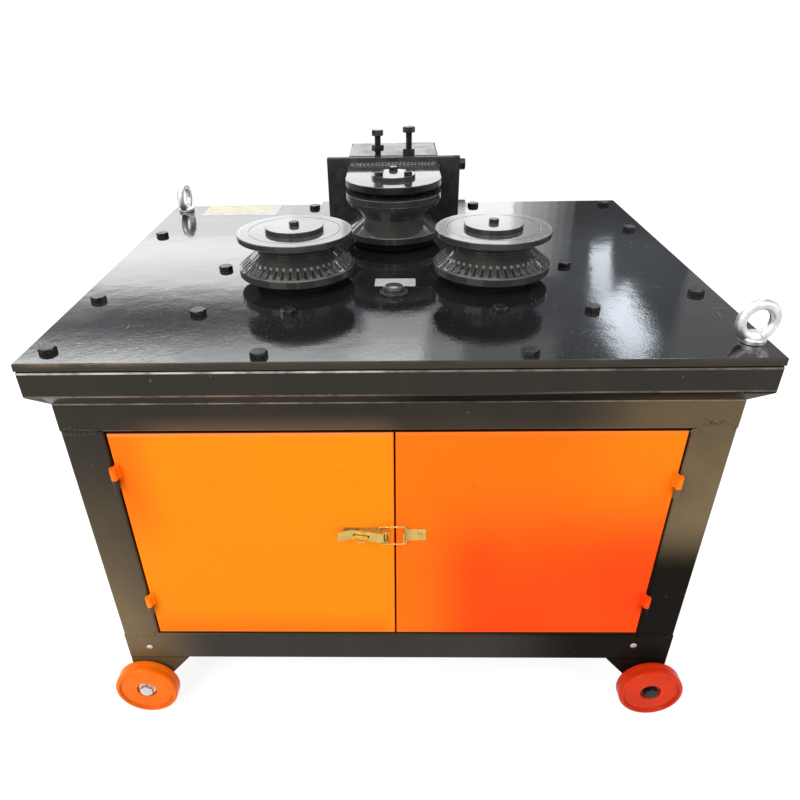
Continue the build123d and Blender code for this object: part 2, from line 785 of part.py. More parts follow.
# reducer and motor
reducer_top = table_top + carrier_top - carrier_thick
case = block(
    -reducer_width / 2, reducer_width / 2, pinion_y - reducer_length / 2, pinion_y + reducer_length / 2,
    reducer_top - reducer_height, reducer_top,
)
case = fillet(case.edges().filter_by(Axis.Z), reducer_round)
shaft_bore = pinion_shaft_radius + running_clearance
case -= post(0, pinion_y, reducer_top - 2 * shaft_foot, reducer_top + 1, shaft_bore)
motor_z = reducer_top - reducer_height / 2
case_back = pinion_y + reducer_length / 2
flange = Rot(-90, 0, 0) * post(0, 0, 0, motor_flange_thick, motor_radius)
save("reducer", case + Pos(0, case_back, motor_z) * flange)
fins = []
for k in range(motor_fin_count):
    middle = 2 * math.pi * k / motor_fin_count
    wide = 0.30 * 2 * math.pi / motor_fin_count
    for radius, turn in (
        (motor_radius - motor_fin_depth, -wide), (motor_radius, -0.7 * wide), (motor_radius, 0.7 * wide),
        (motor_radius - motor_fin_depth, wide),
    ):
        fins.append((radius * math.cos(middle + turn), radius * math.sin(middle + turn)))
stator_length = motor_length - motor_bell_length - fan_cover_length
motor = post(0, 0, 0, motor_bell_length, motor_radius - 4.0)
motor += prism(fins, motor_bell_length, motor_bell_length + stator_length)
motor += post(0, 0, motor_bell_length + stator_length, motor_length, motor_radius + 1.0)
motor_face = case_back + motor_flange_thick
motor_at = Pos(0, motor_face, motor_z) * Rot(-90, 0, 0)
box_half = terminal_box_side / 2
box_middle = motor_face + motor_bell_length + stator_length / 2
box_top = motor_z - motor_radius + terminal_box_sink
terminal_box = block(
    -box_half, box_half, box_middle - box_half, box_middle + box_half, box_top - terminal_box_height, box_top
)
save("motor", motor_at * motor + terminal_box)

# rear head: yoke, roller and pin
spool_lower = turned(
    [
        (pin_radius + running_clearance, spool_bottom),
        (spool_radius - roller_chamfer, spool_bottom),
        (spool_radius, spool_bottom + roller_chamfer),
        (spool_radius, spool_lower_rim_top),
        (spool_throat_radius, spool_waist_height - spool_throat_half),
        (spool_waist_radius + spool_waist_round, spool_waist_height - 0.55 * spool_throat_half),
        (spool_waist_radius, spool_waist_height),
        (pin_radius + running_clearance, spool_waist_height),
    ]
)
spool_upper = turned(
    [
        (pin_radius + running_clearance, spool_waist_height),
        (spool_waist_radius, spool_waist_height),
        (spool_waist_radius + spool_waist_round, spool_waist_height + 0.55 * spool_throat_half),
        (spool_throat_radius, spool_waist_height + spool_throat_half),
        (spool_upper_cone_radius, spool_upper_cone_top),
        (spool_radius, spool_upper_rim_bottom),
        (spool_radius, spool_top - roller_chamfer),
        (spool_radius - roller_chamfer, spool_top),
        (pin_radius + running_clearance, spool_top),
    ]
)
spool_at = Pos(0, spool_y, table_top)
save("rear_roller_lower", spool_at * spool_lower)
save("rear_roller_upper", spool_at * spool_upper)


def rounded_arm(half, z0, z1):
    """Plate with straight sides and a half-round front, reaching back to the back plate."""
    outline = Pos(0, spool_y) * Circle(half)
    straight = plate_front_y - spool_y
    outline += Pos(0, spool_y + straight / 2) * Rectangle(2 * half, straight)
    return Pos(0, 0, z0) * extrude(outline, z1 - z0)


upper_arm = rounded_arm(arm_half_width, upper_arm_bottom, upper_arm_bottom + arm_thick)
upper_arm += post(0, spool_y, spool_top + boss_clearance, upper_arm_bottom, arm_boss_radius)
upper_arm -= post(0, spool_y, spool_top, upper_arm_bottom + arm_thick + 1, pin_radius)
save("yoke_upper_arm", Pos(0, 0, table_top) * upper_arm)
lower_arm_top = lower_arm_bottom + lower_arm_thick
lower_arm = rounded_arm(lower_arm_half_width, lower_arm_bottom, lower_arm_top)
lower_arm += post(0, spool_y, lower_arm_top, spool_bottom - boss_clearance, arm_boss_radius)
lower_arm -= post(0, spool_y, lower_arm_bottom - 1, spool_bottom, pin_radius)
save("yoke_lower_arm", Pos(0, 0, table_top) * lower_arm)
plate_rear_y = plate_front_y + plate_thick
back_plate = block(
    -plate_half_width, plate_half_width, plate_front_y, plate_rear_y, lower_arm_bottom, plate_height
)
stop_at = Pos(plate_half_width, (plate_front_y + plate_rear_y) / 2, stop_bolt_height) * Rot(0, 90, 0)
stop_hole = Cylinder(bolt_radius, 2 * stop_bolt_length)
save("yoke_back_plate", Pos(0, 0, table_top) * (back_plate - stop_at * stop_hole))
stop_bolt = hexagon(stop_bolt_flats, 0, stop_bolt_head) + post(0, 0, -stop_bolt_length, 0, bolt_radius)
save("stop_bolt", Pos(0, 0, table_top) * stop_at * stop_bolt)
save("roller_pin", spool_at * post(0, 0, lower_arm_bottom, upper_arm_bottom + arm_thick, pin_radius))
cap_base = upper_arm_bottom + arm_thick
cap = turned(
    [
        (0, cap_base),
        (pin_cap_radius, cap_base),
        (pin_cap_radius, cap_base + pin_cap_thick - pin_cap_bevel),
        (pin_cap_radius - pin_cap_bevel, cap_base + pin_cap_thick),
        (0, cap_base + pin_cap_thick),
    ]
)
for angle in (90, 210, 330):
    turn = math.radians(angle)
    head = hexagon(small_flats, cap_base + pin_cap_thick, cap_base + pin_cap_thick + small_head)
    cap += Pos(pin_cap_bolt_circle * math.cos(turn), pin_cap_bolt_circle * math.sin(turn), 0) * head
save("pin_cap", spool_at * cap)

# slide bar, guide housing, gib and plunger
plunger_line = Pos(0, 0, plunger_height) * Rot(-90, 0, 0)
plunger_bore = post(0, 0, plunger_hole_front_y, slide_rear_y + 1, plunger_radius + running_clearance)
slide = block(-slide_half_width, slide_half_width, plate_rear_y, slide_rear_y, slide_bottom, slide_top)
save("slide_bar", Pos(0, 0, table_top) * (slide - plunger_line * plunger_bore))
channel_half = slide_half_width + slide_clearance
gib_bottom = slide_top + slide_clearance
channel_top = gib_bottom + gib_thick
channel_bottom = slide_bottom - slide_clearance
house = block(-house_half_width, house_half_width, house_front_y, house_rear_y, base_thick, house_top)
house = fillet(house.edges().filter_by(Axis.Y).group_by(Axis.Z)[-1], house_round)
for side in (-1, 1):
    house -= post(side * adjuster_x, adjuster_y, gib_bottom, house_top + 1, bolt_radius)
house_plates = []
for x0, x1, z0, z1 in (
    (-house_half_width, -channel_half, base_thick, house_top),
    (channel_half, house_half_width, base_thick, house_top),
    (-channel_half, channel_half, base_thick, channel_bottom),
    (-channel_half, channel_half, channel_top, house_top),
):
    house_plates.append(house & block(x0, x1, house_front_y - 1, house_rear_y + 1, z0, z1))
save("guide_housing", Pos(0, 0, table_top) * Compound(children=house_plates))
gib = block(-channel_half, channel_half, house_front_y, house_rear_y, gib_bottom, channel_top)
save("gib_strip", Pos(0, 0, table_top) * gib)
cover_rear_y = house_rear_y + house_cover_thick
base = block(-base_half_width, base_half_width, house_front_y, cover_rear_y, 0, base_thick)
save("housing_base", Pos(0, 0, table_top) * base)
cover = block(-house_half_width, house_half_width, house_rear_y, cover_rear_y, base_thick, house_top)
plunger = plunger_line * post(0, 0, plunger_front_y, house_rear_y, plunger_radius)
save("plunger_cover", Pos(0, 0, table_top) * Compound(children=[cover, plunger]))
adjusters = []
for side, head_at, nut_lift in ((-1, left_adjuster_head, left_nut_lift), (1, right_adjuster_head, 0.0)):
    bolt = post(0, 0, channel_top, head_at, bolt_radius)
    bolt += hexagon(bolt_flats, head_at, head_at + adjuster_head)
    bolt += hexagon(bolt_flats, house_top + nut_lift, house_top + nut_lift + bolt_nut)
    adjusters.append(Pos(side * adjuster_x, adjuster_y, table_top) * bolt)
save("adjusting_bolts", Compound(children=adjusters))

# doors with the upper halves of their hinges
door_face = front_face + door_recess
hinge_x = opening_half - door_side_gap
hinge_y = front_face - hinge_stand_off
leaf_front = hinge_y + hinge_radius / 2


def door(tops):
    """Right-hand door pan with hinge barrels on its outer edge."""
    x0, x1 = door_middle_gap / 2, opening_half - door_side_gap
    pan = block(x0, x1, door_face, door_face + door_return, door_low, door_high)
    pan = fillet(pan.edges().group_by(Axis.Y)[0], door_bend_round)
    hollow_low, hollow_high = door_low + door_sheet, door_high - door_sheet
    hollow_front, hollow_back = door_face + door_sheet, door_face + door_return + 1
    pan -= block(x0 + door_sheet, x1 - door_sheet, hollow_front, hollow_back, hollow_low, hollow_high)
    for top in tops:
        pan += post(hinge_x, hinge_y, top - door_barrel, top, hinge_radius)
        pan += block(hinge_x - hinge_leaf, hinge_x, leaf_front, door_face, top - door_barrel, top)
        bore_top = top - hinge_cap
        pan -= post(hinge_x, hinge_y, top - door_barrel - 1, bore_top, hinge_pin_radius + running_clearance)
    return pan


def leg_hinge(top):
    """Lower half of a right-hand hinge, welded to the leg, with the pin that the door drops on to."""
    high = top - door_barrel - barrel_gap
    low = high - leg_barrel
    half = post(hinge_x, hinge_y, low, high, hinge_radius)
    half += block(hinge_x, hinge_x + hinge_leaf, leaf_front, front_face, low, high)
    return half + post(hinge_x, hinge_y, high, top - hinge_cap - barrel_gap, hinge_pin_radius)


save("right_door", door(right_hinge_tops))
save("left_door", mirrored(door(left_hinge_tops)))
leg_halves = [leg_hinge(top) for top in right_hinge_tops]
leg_halves += [mirrored(leg_hinge(top)) for top in left_hinge_tops]
save("leg_hinges", Compound(children=leg_halves))

# toggle latch; all its pieces are drawn about the lever's pivot
latch_seat = door_face
pivot_y = latch_seat - latch_pivot_out
plate_front = latch_seat - latch_plate_thick
latch_at = Pos(0, 0, latch_height)

ear_left, ear_right = latch_pivot_x - latch_ear_radius, latch_pivot_x + latch_ear_radius
latch_base = block(latch_left, ear_right, plate_front, latch_seat, -latch_half, latch_half)
for side in (-1, 1):
    z0, z1 = sorted((side * (lever_half + side_play), side * latch_half))
    latch_base += post(latch_pivot_x, pivot_y, z0, z1, latch_ear_radius)
    latch_base += block(ear_left, ear_right, pivot_y, plate_front, z0, z1)
latch_base += post(latch_pivot_x, pivot_y, -latch_half, latch_half, latch_pin_radius)
staple_y = latch_seat - staple_out
staple = Pos(staple_x, staple_y) * Circle(staple_half)
staple += Pos(staple_x, (staple_y + plate_front) / 2) * Rectangle(2 * staple_half, plate_front - staple_y)
staple -= Pos(staple_x, staple_y - staple_hole_out) * Circle(staple_hole)
latch_base += Pos(0, 0, -staple_thick / 2) * extrude(staple, staple_thick)
save("latch_base", latch_at * latch_base)

root_y = latch_seat - lever_root_out
bend_y = latch_seat - lever_bend_out
tip_y = latch_seat - lever_tip_out
lever_outline = [
    (lever_root_x, root_y),
    (lever_bend_x, bend_y),
    (lever_tip_x, tip_y),
    (lever_tip_x, tip_y + latch_plate_thick),
    (lever_bend_x, bend_y + latch_plate_thick),
    (lever_root_x, root_y + latch_plate_thick),
]
lever = prism(lever_outline, -lever_half, lever_half)
lever -= block(
    staple_x - lever_slot_half, staple_x + lever_slot_half, root_y, latch_seat, -staple_thick, staple_thick
)
bail_x = latch_pivot_x - bail_offset
cheek_share = (lever_root_x - lever_cheek_end) / (lever_root_x - lever_bend_x)
cheek_outline = [
    (latch_pivot_x, pivot_y + cheek_radius),
    (latch_pivot_x, pivot_y - cheek_radius),
    (lever_root_x, root_y + cheek_drop),
    (lever_cheek_end, root_y + cheek_share * (bend_y - root_y) + cheek_drop),
    (lever_cheek_end, pivot_y + cheek_radius - cheek_foot),
]
for side in (-1, 1):
    z0, z1 = sorted((side * (lever_half - latch_plate_thick), side * lever_half))
    lever += prism(cheek_outline, z0, z1) + post(latch_pivot_x, pivot_y, z0, z1, cheek_radius)
lever -= post(latch_pivot_x, pivot_y, -latch_half, latch_half, latch_pin_radius + running_clearance)
lever -= post(bail_x, pivot_y, -latch_half, latch_half, bail_wire + running_clearance)
save("latch_lever", latch_at * lever)

bail_in = lever_half - latch_plate_thick - bail_end_out
bail_plane = Plane(origin=(0, pivot_y, 0), x_dir=(1, 0, 0), z_dir=(0, -1, 0))
bail_corners = [
    (bail_x, bail_in),
    (bail_x, bail_leg),
    (bail_bar_x, bail_leg),
    (bail_bar_x, -bail_leg),
    (bail_x, -bail_leg),
    (bail_x, -bail_in),
]
bail_path = bail_plane * FilletPolyline(*bail_corners, radius=bail_bend)
bail_end = Plane(origin=(bail_x, pivot_y, bail_in), x_dir=(1, 0, 0), z_dir=(0, 0, 1)) * Circle(bail_wire)
save("latch_bail", latch_at * sweep(bail_end, path=bail_path))

keeper = block(lip_left, keeper_right, plate_front, latch_seat, -latch_half, latch_half)
lip_right = lip_left + latch_plate_thick
lip_half = latch_half - lip_trim
keeper += block(lip_left, lip_right, plate_front - lip_height, plate_front, -lip_half, lip_half)
rivet = Rot(90, 0, 0) * post(0, 0, 0, rivet_height, rivet_radius)
keeper += Pos(keeper_right - rivet_inset, plate_front, 0) * rivet
save("latch_keeper", Pos(0, 0, latch_height - keeper_drop) * keeper)
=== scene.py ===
"""Looks for a three-roller bar bending machine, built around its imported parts.

Shapes are numpy surfaces in millimetres, X to the right, Y to the back, Z up from the floor.
"""
import math

import bmesh
import bpy
import numpy as np
from bpy.props import FloatProperty, FloatVectorProperty, IntProperty, PointerProperty
from mathutils import Matrix, Vector


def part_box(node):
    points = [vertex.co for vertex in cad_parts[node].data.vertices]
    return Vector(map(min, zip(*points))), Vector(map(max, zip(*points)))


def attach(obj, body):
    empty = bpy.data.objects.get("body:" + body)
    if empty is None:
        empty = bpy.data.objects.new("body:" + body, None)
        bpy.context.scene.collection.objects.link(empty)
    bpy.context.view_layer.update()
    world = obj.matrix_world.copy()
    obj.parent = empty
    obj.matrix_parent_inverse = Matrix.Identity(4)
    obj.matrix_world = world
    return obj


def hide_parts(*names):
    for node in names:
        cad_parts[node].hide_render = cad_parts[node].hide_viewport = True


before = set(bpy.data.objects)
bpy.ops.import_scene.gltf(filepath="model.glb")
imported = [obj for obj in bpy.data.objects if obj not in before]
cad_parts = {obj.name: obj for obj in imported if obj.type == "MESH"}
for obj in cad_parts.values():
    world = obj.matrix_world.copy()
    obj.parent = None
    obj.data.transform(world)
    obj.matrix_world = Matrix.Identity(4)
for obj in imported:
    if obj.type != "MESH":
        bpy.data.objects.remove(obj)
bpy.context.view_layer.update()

bl_info = {
    "name": "Bar bender looks",
    "version": (1, 0, 0),
    "blender": (4, 5, 0),
    "location": "View3D > Sidebar > Bar bender",
    "description": "Surfaces, finishes and studio for a three-roller bar bending machine",
    "category": "Object",
}

MM = 0.001
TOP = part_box("table_plate")[1].z / MM

# Front rollers: radii, then heights above the table, in millimetres.
BORE, NECK, CONE_RIM, DISC_RIM, CLAMP_RIM = 27.0, 57.0, 85.0, 84.0, 42.5
CONE_SEAT, CONE_FOOT, CONE_HEAD, SPLIT = 14.8, 25.4, 47.3, 50.0
BEVEL_FOOT, BEVEL_HEAD, DISC_TOP, CLAMP_TOP, CLAMP_HEAD = 55.0, 66.2, 74.6, 81.1, 86.6
# Rear head: hole and depth of the yoke arms, then heights above the table, in millimetres.
PIN_HOLE, ARM_DEPTH = 20.0, 100.0
UPPER_ARM, LOWER_ARM, CAP_TOP, CAP_HEAD = (95.0, 106.0), (3.0, 13.5), 111.5, 117.0
# Edges of turned steel with painted highlight lines, partly rubbed bright: heights above the table, in millimetres.
WEAR_AND_HIGHLIGHT_EDGES = (25.4, 66.4, 74.4, 84.0)
# Inner side of the legs, from the middle of the machine, in millimetres.
LEG_INNER = 374.0


def length(label, about, default):
    """Length setting in metres."""
    return FloatProperty(name=label, description=about, default=default, min=0.0, unit="LENGTH")


def colour(label, about, default):
    """Colour setting."""
    return FloatVectorProperty(
        name=label, description=about, default=default, size=3, min=0.0, max=1.0, subtype="COLOR"
    )


def angle(label, about, degrees):
    """Angle setting, given in degrees."""
    return FloatProperty(name=label, description=about, default=math.radians(degrees), subtype="ANGLE")


class RollerSizes(bpy.types.PropertyGroup):
    """Sizes of the front rollers."""

    serrations: IntProperty(name="Serrations", description="Grooves round each front roller", default=44, min=8, max=90)
    serration_depth: length("Serration depth", "Depth of a groove below the cone", 0.0024)
    serration_width: length("Serration width", "Width of a groove across the cone", 0.0064)
    serration_outer: length("Serration outer radius", "Radius where the grooves start", 0.081)
    serration_inner: length("Serration inner radius", "Radius where the grooves end", 0.0685)
    edge_round: length("Edge round", "Round on the turned edges", 0.0011)


class HeadSizes(bpy.types.PropertyGroup):
    """Sizes of the rear head."""

    plate_edge: length("Plate edge", "Round on the edges of the flame-cut plates", 0.0012)
    bead_width: length("Bead width", "Half width of the weld between arm and back plate", 0.005)
    bead_height: length("Bead height", "Height of that weld", 0.0032)
    thread_pitch: length("Thread pitch", "Pitch of the adjusting bolts", 0.00175)


class FastenerSizes(bpy.types.PropertyGroup):
    """Sizes of bolts, eyes and wheels."""

    bolt_flats: length("Bolt flats", "Across the flats of the large hex heads", 0.019)
    small_flats: length("Small flats", "Across the flats of the small hex heads", 0.013)
    wire_swell: FloatProperty(
        name="Eye swell", description="Share by which the eye's ring thickens at its foot", default=0.22,
        min=0.0, max=0.5,
    )
    wheel_round: length("Wheel round", "Round on the edges of the wheels", 0.0048)


class FinishColours(bpy.types.PropertyGroup):
    """Paint, plating and plastic colours."""

    table: colour("Table enamel", "Gloss black of the table", (0.010, 0.010, 0.0115))
    carcass: colour("Frame enamel", "Black of the frame", (0.0125, 0.0105, 0.008))
    # Besides dust, this brown is the painted light on the front legs.
    dust: colour("Dust", "Dust film on the frame", (0.205, 0.142, 0.066))
    door_left: colour("Door, left", "Orange at the left end", (0.98, 0.238, 0.006))
    # This redder orange also serves as painted shade on the doors.
    door_right: colour("Door, right", "Orange at the right end", (0.92, 0.048, 0.006))
    steel: colour("Blackened steel", "Turned and blackened rollers", (0.057, 0.055, 0.052))
    oxide: colour("Black oxide", "Bolts", (0.017, 0.017, 0.018))
    zinc: colour("Zinc", "Bright plating of the lifting eyes", (0.54, 0.55, 0.56))
    passivated: colour("Yellow zinc", "Plating of the latch", (0.60, 0.385, 0.080))
    wheel_left: colour("Wheel, left", "Polyurethane of the left wheels", (0.93, 0.160, 0.005))
    wheel_right: colour("Wheel, right", "Polyurethane of the right wheels", (0.66, 0.034, 0.005))
    motor: colour("Motor enamel", "Grey of motor and reducer", (0.17, 0.20, 0.23))


class StageSettings(bpy.types.PropertyGroup):
    """Camera and light."""

    camera_place: FloatVectorProperty(
        name="Camera place", description="Where the camera stands", default=(0.0016, -1.0705, 0.9929),
        subtype="TRANSLATION",
    )
    camera_yaw: angle("Yaw", "Turn to the right", -1.809)
    camera_pitch: angle("Pitch", "Tilt up", -32.107)
    camera_roll: angle("Roll", "Turn about the view", -1.281)
    lens: FloatProperty(name="Lens", description="Focal length on a 36 mm sensor", default=30.52, unit="CAMERA")
    ambient: FloatProperty(name="Ambient", description="Even light from all round", default=0.55, min=0.0)
    key: FloatProperty(name="Key", description="Watts of the front left softbox", default=82.0, min=0.0, unit="POWER")


def shell(grid, ring=False):
    """Quads over a grid of points whose columns close on themselves, and its rows too if it is a ring."""
    rows, cols = grid.shape[:2]
    i = np.arange(rows if ring else rows - 1)[:, None]
    j = np.arange(cols)[None, :]
    i2, j2 = (i + 1) % rows, (j + 1) % cols
    quads = np.stack(np.broadcast_arrays(i * cols + j, i * cols + j2, i2 * cols + j2, i2 * cols + j), -1)
    return grid.reshape(-1, 3), quads.reshape(-1, 4)


def capped(grid):
    """Grid with both end rows drawn together in their middle, which closes the ends."""
    first = np.broadcast_to(grid[:1].mean(1, keepdims=True), grid[:1].shape)
    last = np.broadcast_to(grid[-1:].mean(1, keepdims=True), grid[-1:].shape)
    return np.concatenate([first, grid, last])


def soften(corners, radius, steps=4, closed=True):
    """Outline with each corner C turned into a quadratic arc between points r away on its two sides.

    A point 1.2 r away on each side keeps the shading of the flats level.
    """
    c = np.asarray(corners, float)
    before = np.roll(c, 1, 0) - c
    after = np.roll(c, -1, 0) - c
    if not closed:
        before[0] = 0
        after[-1] = 0
    len_b = np.linalg.norm(before, axis=1, keepdims=True)
    len_a = np.linalg.norm(after, axis=1, keepdims=True)
    r = np.minimum(radius, 0.4 * np.minimum(len_b, len_a))
    start = before / np.maximum(len_b, 1e-9) * r
    end = after / np.maximum(len_a, 1e-9) * r
    t = np.linspace(0, 1, steps + 1)[None, :, None]
    arc = (1 - t) ** 2 * start[:, None] + t ** 2 * end[:, None]
    arc = np.concatenate([1.2 * start[:, None], arc, 1.2 * end[:, None]], 1)
    return (c[:, None] + arc).reshape(-1, c.shape[1])


def angles(count):
    """Angles in even steps round a full turn."""
    return np.linspace(0, 2 * np.pi, count, endpoint=False)


def swept(r, a, z):
    """Grid of points round Z: (r cos a, r sin a, z)."""
    return np.stack(np.broadcast_arrays(r * np.cos(a), r * np.sin(a), z), -1)


def turned(profile, turns=96, ring=False):
    """Profile of radius and height pairs carried round Z: (r cos a, r sin a, z)."""
    p = np.asarray(profile, float)
    return shell(swept(p[:, :1], angles(turns), p[:, 1:]), ring)


def hex_head(flats, low, high, turns=72):
    """Hexagon head: r(a) = (flats / 2) / cos(a mod 60 deg), its top corners cut back by a 30 degree cone."""
    a = angles(turns)
    fold = np.mod(a + np.pi / 6, np.pi / 3) - np.pi / 6
    edge = flats / 2 / np.cos(fold)
    crown, foot = 0.47 * flats, 0.3
    shoulder = high - np.maximum(edge - crown, 0) * math.tan(math.radians(30))
    radii = np.broadcast_arrays(edge - foot, edge, edge, crown, crown - 0.5)
    heights = np.broadcast_arrays(low, low + foot, shoulder, high, high)
    return shell(capped(swept(np.stack(radii), a, np.stack(heights))))


def washer(radius, low, high):
    """Flat round washer, seen as a closed disc with softened edges."""
    rim = soften([(radius, low), (radius, high)], 0.4, 3, closed=False)
    return turned(np.vstack([[(0, low)], [(radius - 0.4, low)], rim[1:-1], [(radius - 0.4, high)], [(0, high)]]), 64)


def bar(radius, low, high, turns=40):
    """Round bar with small chamfers."""
    return turned([(0, low), (radius - 0.8, low), (radius, low + 0.8), (radius, high), (0, high)], turns)


def thread(radius, pitch, low, high, turns=36):
    """Screw thread: r(a, z) = radius - depth * |2 frac(z / pitch - a / 2 pi) - 1|, its depth 0.6 of the pitch."""
    a = angles(turns)[None, :]
    z = np.linspace(low, high, int((high - low) / pitch * 8) + 2)[:, None]
    share = np.mod(z / pitch - a / (2 * np.pi), 1.0)
    return shell(capped(swept(radius - 0.6 * pitch * np.abs(2 * share - 1), a, z)))


def quarter(edge):
    """Inset and rise of a quarter round from a flat to an upright side, with a level strip at both ends."""
    t = np.linspace(0, np.pi / 2, 4)
    inset = edge * np.concatenate([[1.3], 1 - np.sin(t), [0]])
    return inset, edge * np.concatenate([[0], 1 - np.cos(t), [1.3]])


def prism(outline, low, high, edge):
    """Upright prism: outline - e(t) * mitred corner normal, with the height climbing a quarter round over t."""
    p = np.asarray(outline, float)
    along = np.roll(p, -1, 0) - p
    along /= np.linalg.norm(along, axis=1, keepdims=True)
    out = np.stack([along[:, 1], -along[:, 0]], -1)
    mitre = out + np.roll(out, 1, 0)
    mitre /= np.maximum((mitre * out).sum(1, keepdims=True), 0.2)
    inset, rise = quarter(edge)
    inset = np.concatenate([inset, inset[::-1]])
    height = np.concatenate([low + rise, high - rise[::-1]])
    flat = p[None] - inset[:, None, None] * mitre[None]
    tall = np.broadcast_to(height[:, None, None], flat.shape[:2] + (1,))
    return shell(capped(np.concatenate([flat, tall], -1)))


def rectangle(x0, x1, y0, y1, corner=0.5):
    """Outline of a rectangle with rounded corners, anticlockwise."""
    return soften([(x0, y0), (x1, y0), (x1, y1), (x0, y1)], corner, 3)


def moved(block, offset=(0, 0, 0), spin=0.0, facing="z"):
    """Block turned about Z by an angle, then laid so that its Z points along x, y or back along y, then moved."""
    points, quads = block
    c, s = math.cos(spin), math.sin(spin)
    points = points @ np.array([[c, s, 0], [-s, c, 0], [0, 0, 1]])
    if facing == "x":
        points = points[:, [2, 0, 1]]
    elif facing == "y":
        points = points[:, [1, 2, 0]]
    elif facing == "-y":
        points = points[:, [1, 2, 0]] * np.array([-1, -1, 1])
    return points + np.asarray(offset, float), quads


def joined(blocks):
    """Several blocks as one list of points and quads."""
    starts = np.cumsum([0] + [len(points) for points, quads in blocks[:-1]])
    points = np.concatenate([points for points, quads in blocks])
    return points, np.concatenate([quads + start for (_, quads), start in zip(blocks, starts)])


def piece(name, groups, body, replaces=(), axis=None, sharp=32.0):
    """One object from groups of (finish name, blocks): mesh in metres, doubles merged, faces outwards, edges sharp."""
    parts = [joined(blocks) for finish, blocks in groups]
    points, quads = joined(parts)
    ends = np.cumsum([0] + [len(block[0]) for finish, blocks in groups for block in blocks])
    mesh = bpy.data.meshes.new(name)
    mesh.from_pydata(points * MM, [], quads.tolist())
    index = np.repeat(np.arange(len(parts)), [len(part[1]) for part in parts])
    mesh.polygons.foreach_set("material_index", index.astype(np.int32))
    build = bmesh.new()
    build.from_mesh(mesh)
    build.verts.ensure_lookup_table()
    for verts in [build.verts[first:last] for first, last in zip(ends[:-1], ends[1:])]:
        bmesh.ops.remove_doubles(build, verts=verts, dist=2e-6)
    bmesh.ops.recalc_face_normals(build, faces=build.faces)
    build.to_mesh(mesh)
    build.free()
    mesh.shade_smooth()
    mesh.set_sharp_from_angle(angle=math.radians(sharp))
    if axis is not None:
        own = np.zeros(len(mesh.vertices) * 3, np.float32)
        mesh.vertices.foreach_get("co", own)
        own = own.reshape(-1, 3) - np.asarray(axis, np.float32) * MM
        mesh.attributes.new("own", "FLOAT_VECTOR", "POINT").data.foreach_set("vector", own.ravel())
    for finish, blocks in groups:
        mesh.materials.append(finish_of(finish))
    obj = bpy.data.objects.new(name, mesh)
    bpy.context.scene.collection.objects.link(obj)
    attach(obj, body)
    if replaces:
        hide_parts(*replaces)
    return obj


def box_of(node):
    """Low and high corner of a node's box, in millimetres."""
    return tuple(np.array(corner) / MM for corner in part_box(node))


def axis_of(node, height):
    """Middle of a node's box in plan, in millimetres, at a height."""
    low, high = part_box(node)
    return np.array([(low.x + high.x) / 2 / MM, (low.y + high.y) / 2 / MM, height])


class Nodes:
    """Node tree under construction: each call adds a node, feeds it and gives back its output."""

    def __init__(self, tree):
        self.tree = tree

    def add(self, kind, feeds=None, **settings):
        """New node with its settings and its inputs."""
        node = self.tree.nodes.new(kind)
        for key, value in settings.items():
            setattr(node, key, value)
        for key, value in (feeds or {}).items():
            self.feed(node.inputs[key], value)
        return node

    def feed(self, socket, value):
        """Link an output to a socket, or set the socket."""
        if isinstance(value, bpy.types.NodeSocket):
            self.tree.links.new(value, socket)
        elif socket.type == "RGBA" and len(value) == 3:
            socket.default_value = (*value, 1.0)
        else:
            socket.default_value = value

    def calc(self, operation, value, *others):
        """Arithmetic on a value and each of the others in turn, or on the value alone."""
        for other in others or (0.0,):
            value = self.add("ShaderNodeMath", {0: value, 1: other}, operation=operation).outputs[0]
        return value

    def times(self, *values):
        """Product of values."""
        return self.calc("MULTIPLY", *values)

    def plus(self, *values):
        """Sum of values."""
        return self.calc("ADD", *values)

    def most(self, *values):
        """Largest of values."""
        return self.calc("MAXIMUM", *values)

    def step(self, value, low, high, first=0.0, last=1.0):
        """Smooth step of a value from low to high, giving first to last."""
        feeds = {"Value": value, "From Min": low, "From Max": high, "To Min": first, "To Max": last}
        return self.add("ShaderNodeMapRange", feeds, interpolation_type="SMOOTHSTEP").outputs[0]

    def fade(self, share, first, last):
        """First to last by a share."""
        return self.step(share, 0.0, 1.0, first, last)

    def near(self, value, level, wide, thin):
        """One where a value lies within thin of a level, falling to zero where it is wide away."""
        return self.step(self.calc("ABSOLUTE", self.calc("SUBTRACT", value, level)), wide, thin)

    def reach(self, a, b):
        """Distance from an axis: sqrt(a^2 + b^2)."""
        return self.calc("SQRT", self.plus(self.times(a, a), self.times(b, b)))

    def seen(self):
        """One for rays from the camera, from gloss or through glass, and zero for the rest."""
        path = self.add("ShaderNodeLightPath").outputs
        return self.most(path["Is Camera Ray"], path["Is Glossy Ray"], path["Is Transmission Ray"])


